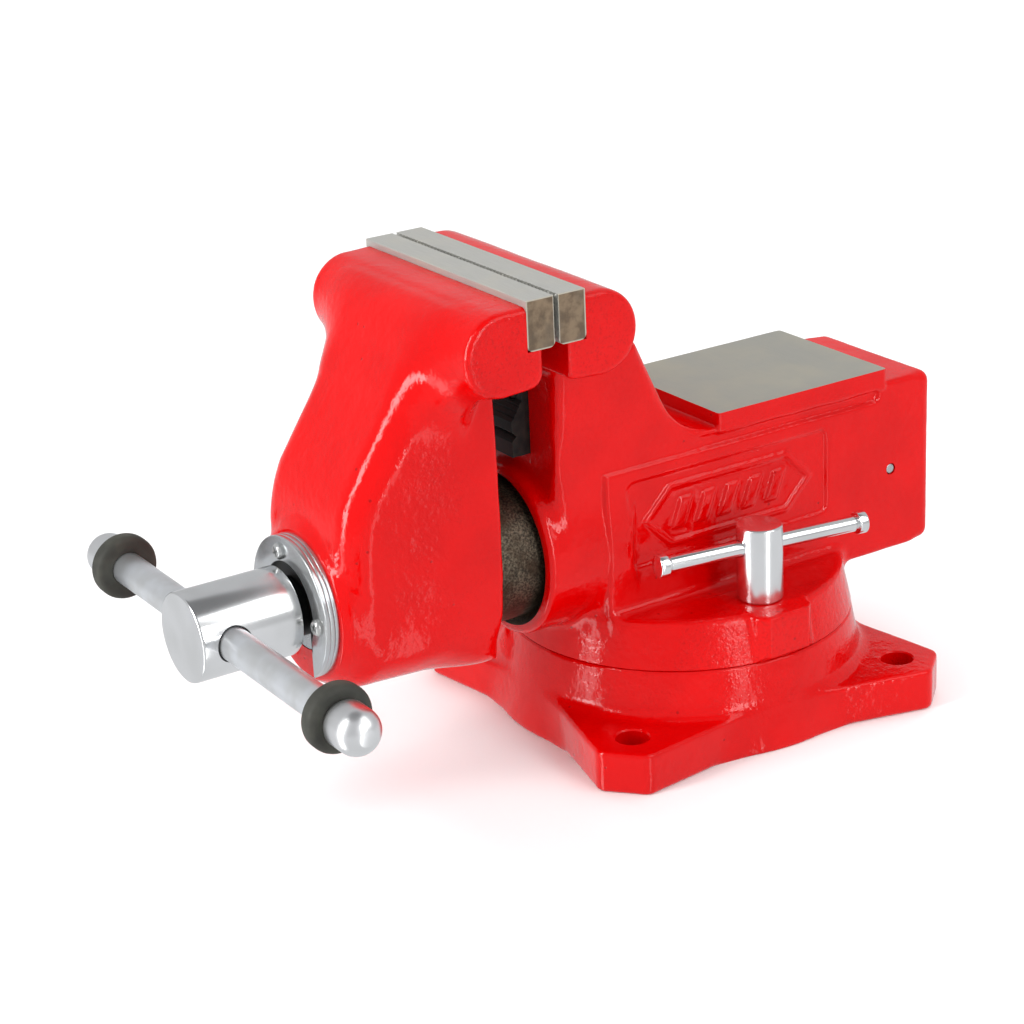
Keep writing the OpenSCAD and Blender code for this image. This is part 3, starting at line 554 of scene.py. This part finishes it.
rear = (0, 1, 0)
cutters = [
    box_mesh("anvil_facing", (-60, -10, anvil_top), (60, 126, anvil_top + 12)),
    box_mesh("plate_seat", (-90, -160, jaw_top - 28.35), (90, rear_back + 0.05, jaw_top + 12)),
    lathe("seam_facing", [(0, seam), (103.0, seam), (107, seam + 4.0), (120, seam + 4.0),
                          (120, seam - 20), (0, seam - 20)], (0, 0, 0), up, 192),
    lathe("bore", [(0, -130), (46.2, -130), (46.2, -126), (bore_r, -121.2), (bore_r, -30),
                   (43.5, -29), (43.5, bore_end), (24.05, bore_end), (24.05, 139), (0, 139)],
          (0, 0, screw_z), rear, 128),
    lathe("pin_hole", [(0, -60), (3.5, -60), (3.5, 60), (0, 60)], pin_place, (1, 0, 0), 32),
    lathe("pivot_hole", [(0, 40), (10.05, 40), (10.05, 70.6), (0, 70.6)], (0, 0, 0), up),
    box_mesh("key_seat", (-5, -120, 73), (5, -104, 90)),
] + [lathe("lock_hole", [(0, 40), (lock_hole_r, 40), (lock_hole_r, 90), (0, 90)], (s, 0, 0), up)
     for s in (-lock_x, lock_x)]
body_mesh = machined(body_mesh, cutters, keep=0.5, calm=2)


def ground(name, along=0, shade="8b8a86", stain=0.25):
    """Ground steel: fine lines along one axis, a faint grey cloud and a film of light oil."""
    steel = Finish(name, Metallic=0.55, Specular_IOR_Level=0.5)
    long_way = [1.0, 1.0, 1.0]
    long_way[along] = 26.0
    lines = steel.noise(0.55, 2.0, 0.6, tuple(long_way))
    cloud = steel.noise(38.0, 3.0, shift=4.0)
    color = steel.mix(lines, tone("98978f"), tone(shade))
    color = steel.mix(cloud.ramp(0.35, 0.75) * stain, color, tone("b8b19c"))
    return steel.wear(color=color, roughness=0.36 + lines * 0.16 + cloud * 0.08,
                      height=lines * 0.02)


def raw_iron(name):
    """As-cast iron under old oil: dark brown-grey and sandy, shining where it rubs."""
    iron = Finish(name, Metallic=0.8, Specular_IOR_Level=0.4)
    sand = iron.noise(1.3, 4.0, 0.65)
    rust = iron.noise(13.0, 3.0, shift=6.0)
    color = iron.mix(sand.ramp(0.35, 0.7), tone("2f2a24"), tone("776b5a"))
    color = iron.mix(rust.ramp(0.42, 0.68) * 0.7, color, tone("3a2c20"))
    return iron.wear(color=color, roughness=0.34 + sand * 0.25,
                     height=sand * 0.22 + iron.noise(4.5, 2.0) * 0.3)


def bare_areas(fx, fy, fz):
    """1 for the ground anvil, 2 for the bored hole and its mouth in dark iron, the mouth as painted
    shade, 0 for all that is painted red.
    """
    on_anvil = (np.abs(fz - anvil_top) < 0.02) & (np.abs(fy - anvil_y) < anvil_long + 0.5)
    # The bore is bare iron; most of the mouth chamfer gets the same dark iron as painted shade for
    # the dark ring around the slide.
    in_bore_or_shaded_mouth = (np.hypot(fx, fz - screw_z) < 45.0) & (fy > -125.5) & (fy < bore_end + 1)
    return np.where(on_anvil, 1, np.where(in_bore_or_shaded_mouth, 2, 0))


def body_rough(red):
    """The jaw's end faces and the flank of the neck keep a coarser skin than the beam."""
    ends = abs(red.x).ramp(80.0, 82.0)
    neck_area = red.z.ramp(176.0, 200.0) * 0.35
    patches = red.noise(48.0, 1.0, shift=7.0).ramp(0.55, 0.75) * 0.35
    return (ends * 0.9 + neck_area + patches).least(1.0)


piece("body_casting", body_mesh, "body", "red_enamel", enamel("body_enamel", body_rough),
      ground("anvil_ground", along=0, shade="adaba2", stain=0.5), raw_iron("bore_iron_and_mouth_shade"),
      replaces=["fixed_body"], second=bare_areas)


# ---- Movable jaw ----
# A hollow grey-iron casting with a round slide in one piece. The jaw is sprayed red, its front
# edges are broadly rounded, and a short boss in front holds the retainer; the slide is as cast.

jaw_low, jaw_high = span("movable_jaw")
front_cast, front_back, front_roll, jaw_back, shoulder = -144.5, -154.9, -169.9, -158.0, -253.5
boss_front, jaw_bottom, slide_r, slide_in = jaw_low[1], 74.0, 41.0, 31.0
step = 1.15
x, y, z = block((-85, boss_front - 3, 60), (85, front_cast + 4, 292), step)
profile = outline([(jaw_back, jaw_bottom), (jaw_back, head_z - 10), (front_roll - 15, head_z - 5)]
                  + arc(front_roll - 26, head_z - 38, 22, 100, 154)
                  + arc(shoulder + 88, screw_z + 33, 88, 154, 180)
                  + arc(shoulder + 16, jaw_bottom + 16, 16, 180, 270), y, z)
width = np.interp(z.ravel(), [jaw_bottom, 100, 128, 160, 205, head_z],
                  [48.5, 51.5, 53.8, 54.0, 53.0, 50.0]).reshape(z.shape)
width = width - 4.5 * (1 - step_up(y, -238, -172))
width = width + 3.2 * np.exp(-((y + 207) / 24) ** 2 - ((z - 98) / 17) ** 2)
edge = 2.5 + 14.5 * (1 - step_up(y, -205, jaw_back - 8)) + 8.0 * (1 - step_up(z, 84, 108))
field = common(profile, np.abs(x) - width, edge.astype(np.float32))
reach = np.hypot(x, z - screw_z)
flare = (reach - 43.5 - 0.7 * (y - boss_front)) / math.hypot(1, 0.7)
boss = np.maximum(common(np.maximum(flare, reach - 47.0), boss_front - y, 1.0), y + 225)
field = joined(field, boss, 4.0)
head = common(rolled_head(y, z, front_cast, front_roll, 23.5), np.abs(x) - jaw_half, 3.8)
field = joined(field, head, 38.0 - 34.0 * step_up(y, -184, -160))
field = field + ripple(x, y, z, 0.085)
jaw_mesh = cast("jaw", field, (x.min(), y.min(), z.min()), step)
jaw_mesh = machined(jaw_mesh, [
    box_mesh("plate_seat", (-90, front_back - 0.05, jaw_top - 28.35), (90, -120, jaw_top + 12)),
    lathe("collar_pocket", [(0, -262), (26.3, -262), (26.3, -244.9), (15.0, -244.9),
                            (15.0, -228.9), (slide_in, -228.9), (slide_in, -140), (0, -140)],
          (0, 0, screw_z), rear, 128),
    box_mesh("back_facing", (-90, jaw_back + 0.02, 40), (90, -130, 241))], keep=0.6, calm=2)


def jaw_rough(red):
    """The jaw's flanks and the ends of its head are the coarsest; its front is nearly smooth."""
    side = abs(red.x).ramp(46.0, 52.0) * red.y.ramp(-236.0, -222.0)
    ends = abs(red.x).ramp(80.0, 82.0)
    return (side * red.noise(30.0, 1.0, shift=2.0).ramp(0.3, 0.65) * 0.5 + ends * 0.9
            + red.noise(52.0, 1.0).ramp(0.55, 0.8) * 0.2).least(1.0)


piece("jaw_casting", jaw_mesh, "jaw", "red_enamel", enamel("jaw_enamel", jaw_rough),
      replaces=["movable_jaw"])


def eased(corners, closed=True, steps=5):
    """Outline through corners (a, b, r): each corner becomes an arc of radius r that starts and
    ends r / tan(half its angle) along its two sides."""
    spots = np.array([corner[:2] for corner in corners], float)
    runs = []
    for n, corner in enumerate(corners):
        r = corner[2] if len(corner) > 2 else 0.0
        if r == 0 or (not closed and n in (0, len(corners) - 1)):
            runs.append(spots[n:n + 1])
            continue
        p = spots[n]
        a, b = spots[n - 1] - p, spots[(n + 1) % len(spots)] - p
        a, b = a / np.linalg.norm(a), b / np.linalg.norm(b)
        half = math.acos(np.clip(a @ b, -1, 1)) / 2
        centre = p + (a + b) / np.linalg.norm(a + b) * r / math.sin(half)
        first = (p + a * r / math.tan(half) - centre) / r
        last = (p + b * r / math.tan(half) - centre) / r
        sweep = math.pi - 2 * half
        t = np.linspace(0, 1, steps + 1)[:, None]
        runs.append(centre + r * (np.sin((1 - t) * sweep) * first + np.sin(t * sweep) * last)
                    / math.sin(sweep))
    return np.vstack(runs)


slide_end = jaw_high[1]
slide_mesh = lathe("slide", eased([(slide_in, -190), (slide_r, -190), (slide_r, slide_end, 1.2),
                                   (slide_in, slide_end, 0.8)]),
                   (0, 0, screw_z), rear, 128, ring=True)
key_way = box_mesh("key_way", (-5.1, -125.4, 70), (5.1, slide_end + 5, 83.8))
slide_mesh = machined(slide_mesh, [key_way])
piece("slide", slide_mesh, "jaw", "plain_iron", raw_iron("slide_iron"), replaces=["movable_jaw"])


# ---- Nut, key and pivot ----
# A long tubular nut pinned into the tail, a key that stops the slide from turning, and the bolt
# that holds the body on its base. Only the pin is made anew; its ends show on the beam's sides.

def plated(name, shade="b9bdc2", rough=0.22, along=1):
    """Zinc-plated steel: pale, slightly milky, with faint marks that run along one axis."""
    zinc = Finish(name, Metallic=0.85, Specular_IOR_Level=0.5)
    long_way = [1.0, 1.0, 1.0]
    long_way[along] = 14.0
    marks = zinc.noise(0.8, 2.0, 0.55, tuple(long_way))
    bloom = zinc.noise(16.0, 2.0, shift=2.0)
    color = zinc.mix(bloom.ramp(0.3, 0.7) * 0.5, tone(shade), tone("bdbdb9"))
    return zinc.wear(color=color, roughness=rough + bloom * 0.05 + marks * 0.06,
                     height=marks * 0.008)


def oxide(name):
    """Black oxide: near-black and oily, with a brownish bloom."""
    black = Finish(name, Metallic=0.6)
    bloom = black.noise(6.0, 3.0)
    color = black.mix(bloom.ramp(0.3, 0.7), tone("1b1d1e"), tone("2b2a26"))
    return black.wear(color=color, roughness=0.3 + bloom * 0.25,
                      height=black.noise(0.7, 2.0) * 0.03)


def dress(finish, *nodes):
    """Gives CAD nodes that are kept a new finish."""
    for node in nodes:
        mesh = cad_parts[node].data
        mesh.materials.clear()
        mesh.materials.append(finish)


pin = eased([(0, -49.6), (3.0, -49.6, 0.7), (3.0, 49.6, 0.7), (0, 49.6)], closed=False)
piece("nut_pin_turned", lathe("pin", pin, pin_place, (1, 0, 0), 32), "body", "zinc_steel",
      plated("pin_zinc", along=0), replaces=["nut_pin"])
dress(raw_iron("nut_iron"), "tubular_nut")
dress(ground("key_steel", along=1), "slide_key")
dress(oxide("key_screw_oxide"), "slide_key_screw")
dress(plated("pivot_zinc", along=2), "pivot_bolt", "pivot_washer")


# ---- Swivel locks ----
# On each side a bolt in the tee slot and a tall turned nut with a sliding cross bar, in bright
# chrome. The bars are rods with a headed end at each side, put on after the rod is through the nut.

def chrome(name, along=1, shade="eaebec", rough=0.07):
    """Bright chrome over turned steel: hard reflections, faint tool marks and a thin haze."""
    bright = Finish(name, Metallic=1.0)
    long_way = [9.0, 9.0, 9.0]
    long_way[along] = 0.45
    marks = bright.noise(1.1, 2.0, 0.6, tuple(long_way))
    haze = bright.noise(24.0, 1.0, shift=8.0)
    color = bright.mix(haze.ramp(0.4, 0.75) * 0.5, tone(shade), tone("d6d7d6"))
    return bright.wear(color=color, roughness=rough + haze * 0.04 + marks * 0.05,
                       height=marks * 0.004)


nut_r, nut_low, nut_top, bar_z = 13.5, 81.6, 128.0, 115.0
bar_r, bar_end_r, bar_end, bar_half, bar_shift, bar_angle = 4.75, 6.75, 6.0, 68.5, 1.75, 8.4
for side_name, sign in (("right", 1), ("left", -1)):
    run = Vector((sign * math.sin(math.radians(bar_angle)), math.cos(math.radians(bar_angle)), 0))
    nut = lathe("nut", eased([(0, 107.2), (8.1, 107.2), (8.1, nut_low), (nut_r - 1.3, nut_low, 0.2),
                              (nut_r - 1.3, nut_low + 0.9, 0.2), (nut_r, nut_low + 1.5, 0.5),
                              (nut_r, nut_top, 1.3), (0, nut_top)], closed=False),
                (sign * lock_x, 0, 0), up, 96)
    cross = lathe("cross", [(0, -30), (bar_r + 0.3, -30), (bar_r + 0.3, 30), (0, 30)],
                  (sign * lock_x, 0, bar_z), run, 48)
    piece(side_name + "_lock_nut_turned", machined(nut, [cross]), side_name + "_nut",
          "bright_chrome", chrome(side_name + "_nut_chrome", along=2, rough=0.2),
          replaces=[side_name + "_lock_nut"])
    half = [(bar_end_r, bar_half, 0.9), (bar_end_r, bar_half - bar_end, 0.7),
            (bar_r - 0.5, bar_half - bar_end, 0.2), (bar_r - 0.5, bar_half - bar_end - 1.3, 0.2),
            (bar_r, bar_half - bar_end - 1.8, 0.1)]
    rod = eased([(0, bar_half)] + half + [(r, -h, e) for r, h, e in half[::-1]] + [(0, -bar_half)],
                closed=False)
    centre = Vector((sign * lock_x, 0, bar_z)) + run * bar_shift
    piece(side_name + "_lock_bar_turned", lathe("bar", rod, centre, run, 48), side_name + "_bar",
          "bright_chrome", chrome(side_name + "_bar_chrome", along=1, rough=0.1),
          replaces=[side_name + "_lock_bar"])
dress(plated("lock_bolt_zinc", along=2), "right_lock_bolt", "left_lock_bolt")


# ---- Jaw plates ----
# Two hardened steel plates, ground on top, with a diamond pattern milled into the gripping faces
# and the lower edges rounded. Two socket-head screws sunk into its gripping face hold each plate.

def plate(name, grip_y, back_y, body, screws, node):
    """Closed (y, z) profile carried along X; on the gripping face each point sinks by how near it
    is to the nearest of two families of diagonal grooves, pitch apart and groove deep."""
    way = 1.0 if back_y > grip_y else -1.0
    low, high, round_r, pitch, groove = jaw_top - 28.3, jaw_top, 3.5, 3.4, 0.55
    rest = eased([(grip_y, high), (back_y, high, 0.5), (back_y, low, round_r),
                  (grip_y, low, round_r), (grip_y, high - 1)], closed=False)[:-1]
    grip_z = np.arange(low + round_r + 0.5, high - 0.2, 0.62)
    loop = np.vstack([rest, np.stack([np.full(len(grip_z), grip_y), grip_z], 1)])
    stations = np.linspace(-jaw_half, jaw_half, 266)
    x, loop_y = np.meshgrid(stations, loop[:, 0], indexing="ij")
    loop_z = np.broadcast_to(loop[:, 1], x.shape)
    first = np.abs(2 * np.mod((x + loop_z) / pitch, 1) - 1)
    other = np.abs(2 * np.mod((x - loop_z) / pitch, 1) - 1)
    on_face = (np.abs(loop_y - grip_y) < 0.01) & (loop_z > low + round_r)
    sunk = groove * (1 - np.minimum(np.minimum(first, other) * 1.5, 1)) * on_face
    points = np.stack([x, loop_y + way * sunk, loop_z], -1)
    mesh = weld(faces_mesh(name, points.reshape(-1, 3), capped_faces(len(stations), len(loop))))
    sinks = [lathe("sink", [(0, -1), (8.6, -1), (8.6, 11), (5.5, 11), (5.5, 30), (0, 30)],
                   (s * 44.5, grip_y, jaw_top - 14.15), (0, way, 0), 48) for s in (-1, 1)]
    piece(name, machined(mesh, sinks), body, "ground_steel", plate_finish(name, grip_y, back_y),
          replaces=[node], crease=30.0)
    dress(oxide(screws + "_oxide"), screws)


def plate_finish(name, grip_y, back_y):
    """Ground grey steel; the ends are stained brown by scale, with bare pale edges."""
    steel = Finish(name + "_finish", Metallic=0.55, Specular_IOR_Level=0.5)
    lines = steel.noise(0.5, 2.0, 0.6, (30.0, 1.0, 1.0))
    cloud = steel.noise(24.0, 3.0, shift=4.0)
    stain = steel.noise(6.5, 4.0, 0.6, shift=1.0)
    middle, half = (grip_y + back_y) / 2, abs(grip_y - back_y) / 2
    end = abs(steel.x).ramp(jaw_half - 0.5, jaw_half - 0.05)
    rim = (abs(steel.y - middle).ramp(half - 1.1, half - 0.35)).most(
        steel.z.ramp(jaw_top - 0.9, jaw_top - 0.3)).most(
        steel.z.ramp(jaw_top - 27.3, jaw_top - 28.0))
    color = steel.mix(lines, tone("a4a39d"), tone("cbcac4"))
    color = steel.mix(cloud.ramp(0.45, 0.8) * 0.3, color, tone("c9c2b0"))
    scale = steel.mix(stain.ramp(0.35, 0.65), tone("655544"), tone("86735d"))
    spots = steel.noise(11.0, 2.0, shift=7.0).ramp(0.5, 0.7) * 0.5
    scale = steel.mix(spots, scale, tone("5c5348"))
    scale = steel.mix(rim, scale, tone("b9b3a4"))
    return steel.wear(color=steel.mix(end, color, scale),
                      roughness=0.34 + lines * 0.15 + end * stain * 0.18,
                      height=lines * 0.02 + end * stain * 0.06)


plate("rear_plate", -134.9, rear_back, "body", "rear_jaw_screws", "rear_jaw_plate")
plate("front_plate", -137.3, front_back, "jaw", "front_jaw_screws", "front_jaw_plate")


# ---- Pipe jaws ----
# Small blackened steel blocks, each with a toothed vee for a pipe. Two countersunk screws hold each
# of them against a wall of the throat.

def pipe_jaw(name, wall_y, way, body, screws, node):
    """Side outline carried along X. Tooth k of the vee's lower face starts at the share k / teeth
    of the face and is tooth_high deep at (k + 0.6) / teeth; the upper face is its mirror image."""
    low, teeth, tooth_high = 183.0, 4, 0.9
    lower, upper = np.array([-12.0, 21.0]), np.array([-4.5, 39.0])
    rise, fall = np.array([7.5, 12.0]), np.array([-7.5, 12.0])
    up_face = [(p[0] + tooth_high * s, p[1]) for k in range(teeth)
               for s, p in ((0, lower + rise * k / teeth), (1, lower + rise * (k + 0.6) / teeth))]
    down_face = [(p[0] + tooth_high * s, p[1]) for k in range(teeth)
                 for s, p in ((1, upper + fall * (k + 0.4) / teeth),
                              (0, upper + fall * (k + 1) / teeth))]
    shape = np.array([(0, 0), (-12, 0), (-12, 9), (-9, 12), (-12, 15)] + up_face
                     + [(-4.5, 33), (-4.5, 39)] + down_face + [(-12, 57), (0, 57)], float)
    count = len(shape)
    rows = [np.column_stack([np.full(count, s), wall_y - way * shape[:, 0], low + shape[:, 1]])
            for s in (-24.0, 24.0)]
    mesh = weld(faces_mesh(name, np.vstack(rows), capped_faces(2, count)))
    sinks = [lathe("sink", [(0, -2), (3.6, -2), (3.6, 0.9), (5.4, 0.9), (5.4, 20), (0, 20)],
                   (s * 14.0, wall_y, low + 36), (0, way, 0), 40) for s in (-1, 1)]
    piece(name, machined(mesh, sinks), body, "black_oxide_steel", oxide(name + "_oxide"),
          replaces=[node], bevel=0.4)
    dress(oxide(screws + "_oxide"), screws)


pipe_jaw("fixed_pipe_block", throat, -1, "body", "fixed_pipe_jaw_screws", "fixed_pipe_jaw")
pipe_jaw("movable_pipe_block", jaw_back, 1, "jaw", "movable_pipe_jaw_screws", "movable_pipe_jaw")


# ---- Spindle and retainer ----
# A steel screw with a turned and chromed head that is bored across for the handle. A pinned collar
# behind the boss takes the pull; a zinc-plated ring and horseshoe plate, held by three cross-recess
# screws, close it.

screw_low, screw_high = span("spindle")
head_front, head_back, head_r, collar_end = screw_low[1], -269.7, 25.5, -248.2
neck_r, screw_r, screw_tip, rod_y = 17.0, 14.0, screw_high[1], -311.5
handle_turn = math.radians(1.0)
handle_run = Vector((math.cos(handle_turn), 0, -math.sin(handle_turn)))
head_mesh = lathe("head", eased([(0, head_front), (head_r, head_front, 1.4),
                                 (head_r, head_back, 0.8), (neck_r, head_back, 0.5),
                                 (neck_r, collar_end), (screw_r, collar_end + 1),
                                 (screw_r, -236), (0, -236)], closed=False),
                  (0, 0, screw_z), rear, 128)
eye = lathe("eye", [(0, -40), (10.5, -40), (10.5, 40), (0, 40)], (0, rod_y, screw_z),
            handle_run, 64)
# The neck between the head and the washer gets the black oxide finish: painted shade for the dark
# gap there.
piece("spindle_head", machined(head_mesh, [eye]), "screw", "bright_chrome",
      chrome("head_chrome", along=1, rough=0.13), oxide("neck_painted_shade"), replaces=["spindle"],
      second=lambda fx, fy, fz: fy > head_back + 0.1)

# The thread: radius at angle t and place h is the root plus a trapezoid of the helix phase,
# h / pitch - t / (2 pi)
pitch, root, thread_start = 6.0, 11.4, -237.0
t, h = np.meshgrid(np.linspace(0, 2 * np.pi, 48, endpoint=False),
                   np.arange(thread_start, screw_tip - 0.6, 0.75), indexing="ij")
phase = np.mod(h / pitch - t / (2 * np.pi), 1)
crest = np.clip(2.2 - np.abs(phase - 0.5) * 6.4, 0, 1)
thread_r = root + (screw_r - root) * crest * step_up(h, thread_start, thread_start + 4.0)
thread_r = np.minimum(thread_r, screw_r - np.maximum(h - screw_tip + 3.0, 0) * 0.8)
thread = np.stack([thread_r * np.cos(t), h, screw_z + thread_r * np.sin(t)], -1).transpose(1, 0, 2)
thread_mesh = weld(faces_mesh("thread", thread.reshape(-1, 3), capped_faces(*thread.shape[:2])))
piece("spindle_thread", thread_mesh, "screw", "bright_chrome",
      plated("thread_steel", "9a9994", 0.3), crease=25.0)

plate_front, plate_back, ring_back, rim_r, hole_r = -265.0, -262.0, boss_front, 41.0, 26.7
screw_circle = 32.5
screw_spots = [(screw_circle * math.cos(a), screw_z + screw_circle * math.sin(a))
               for a in np.radians([-1, 100, 201])]
rods = [lathe("rod", [(0, -275), (2.8, -275), (2.8, -250), (0, -250)], (sx, 0, sz), rear, 24)
        for sx, sz in screw_spots]
washer = lathe("washer", eased([(hole_r, plate_front, 0.5), (rim_r, plate_front, 0.6),
                                (rim_r, plate_back, 0.4), (hole_r, plate_back, 0.3)]),
               (0, 0, screw_z), rear, 128, ring=True)
slot_cut = box_mesh("slot", (2.6 - hole_r, -280, 40), (hole_r - 2.6, -250, screw_z))
piece("retainer_washer", machined(washer, [slot_cut, *rods]), "jaw", "zinc_steel",
      plated("washer_zinc", "c3c6c9", 0.14, along=0), replaces=["retainer_plate"], bevel=0.25)
spacer = lathe("spacer", eased([(17.5, plate_back + 0.02, 0.4), (rim_r, plate_back + 0.02, 0.7),
                                (rim_r, -259.5, 0.4), (rim_r - 0.7, -259.2), (rim_r, -258.9, 0.4),
                                (rim_r, ring_back - 0.02, 0.5), (17.5, ring_back - 0.02, 0.3)]),
               (0, 0, screw_z), rear, 128, ring=True)
slot_cut = box_mesh("slot", (-17.5, -280, 40), (17.5, -250, screw_z))
# The spacer's face inside 34 mm, seen through the washer's hole, gets the black oxide finish:
# painted shade behind the washer and the head.
piece("retainer_spacer", machined(spacer, [slot_cut, *rods]), "jaw", "zinc_steel",
      plated("spacer_zinc", "c3c6c9", 0.16, along=0), oxide("spacer_painted_shade"),
      replaces=["retainer_ring"], bevel=0.25,
      second=lambda fx, fy, fz: np.hypot(fx, fz - screw_z) < 34.0)

heads = []
for n, (sx, sz) in enumerate(screw_spots):
    pan = lathe("pan", eased([(0, -268), (3.6, -268, 1.2), (4.7, -266.4, 0.9),
                              (4.7, plate_front, 0.1), (2.5, plate_front), (2.5, -248.5),
                              (0, -248.5)], closed=False),
                (sx, 0, sz), rear, 40)
    cross = []
    for spin in (25 + 40 * n, 115 + 40 * n):
        blade = box_mesh("blade", (-2.7, -270, -0.55), (2.7, -266.1, 0.55))
        blade.transform(Matrix.Translation((sx / 1000, 0, sz / 1000))
                        @ Matrix.Rotation(math.radians(spin), 4, "Y"))
        cross.append(blade)
    heads.append(machined(pan, cross))
all_heads = bmesh.new()
for head_part in heads:
    all_heads.from_mesh(head_part)
screws_mesh = bpy.data.meshes.new("screws")
all_heads.to_mesh(screws_mesh)
all_heads.free()
piece("retainer_pan_screws", screws_mesh, "jaw", "zinc_steel",
      plated("screw_zinc", "c9cbcb", 0.18), replaces=["retainer_screws"])
dress(plated("collar_zinc"), "spindle_collar", "collar_pin")
dress(raw_iron("thrust_iron"), "thrust_washer")


# ---- Handle ----
# A sliding zinc-plated rod with a pressed-on chromed cap and a rubber buffer ring at each end, so
# that it can drop through the spindle head without pinching a hand.

rod_r, cap_r, cap_length, ring_r, ring_width = 9.5, 13.0, 25.5, 19.0, 11.0
shift, rod_half, cap_reach = 11.5, 143.0, 153.0
pivot = Vector((0, rod_y, screw_z))
rod_mesh = lathe("rod", eased([(0, -rod_half), (rod_r, -rod_half, 1.0), (rod_r, rod_half, 1.0),
                               (0, rod_half)], closed=False),
                 pivot + handle_run * shift, handle_run, 64)
piece("rod", rod_mesh, "handle", "zinc_steel", plated("rod_satin", "dfe2e6", 0.26, along=0),
      replaces=["handle_rod"])


def rubber(name):
    """Moulded rubber: dark warm grey, matt, with a fine grain and a slight bloom."""
    soft = Finish(name, Specular_IOR_Level=0.35)
    grain, bloom = soft.noise(0.5, 2.0), soft.noise(14.0, 2.0)
    color = soft.mix(bloom.ramp(0.35, 0.7), tone("34342f"), tone("42423b"))
    return soft.wear(color=color, roughness=0.55 + grain * 0.2, height=grain * 0.05)


dome = [(cap_r * math.sqrt(1 - ((h - 14.5) / 11.6) ** 2), h) for h in np.linspace(15.0, 25.2, 14)]
skirt = eased([(rod_r, 14), (rod_r, 0), (cap_r - 1.5, 0, 0.6), (cap_r - 1.5, 2.6, 0.3),
               (cap_r, 3.4, 0.4), (cap_r, 14.5)], closed=False)
cap_profile = np.vstack([[(0, 14)], skirt, dome, [(4.2, 25.42), (0, 25.42)]])
buffer = eased([(rod_r, -ring_width / 2, 0.6), (ring_r, -ring_width / 2, 3.6),
                (ring_r, ring_width / 2, 3.6), (rod_r, ring_width / 2, 0.6)], steps=7)
for side_name, sign, length in (("near", 1, cap_reach + shift), ("far", -1, cap_reach - shift)):
    run = handle_run * sign
    cap = lathe("cap", cap_profile, pivot + run * (length - cap_length), run, 96)
    piece(side_name + "_cap", cap, "handle", "bright_chrome",
          chrome(side_name + "_cap_chrome", along=0, rough=0.27),
          replaces=[side_name + "_handle_cap"])
    ring = lathe("buffer", buffer, pivot + run * (length - cap_length - ring_width / 2), run, 96,
                 ring=True)
    piece(side_name + "_buffer", ring, "handle", "rubber", rubber(side_name + "_rubber"),
          replaces=[side_name + "_handle_ring"])
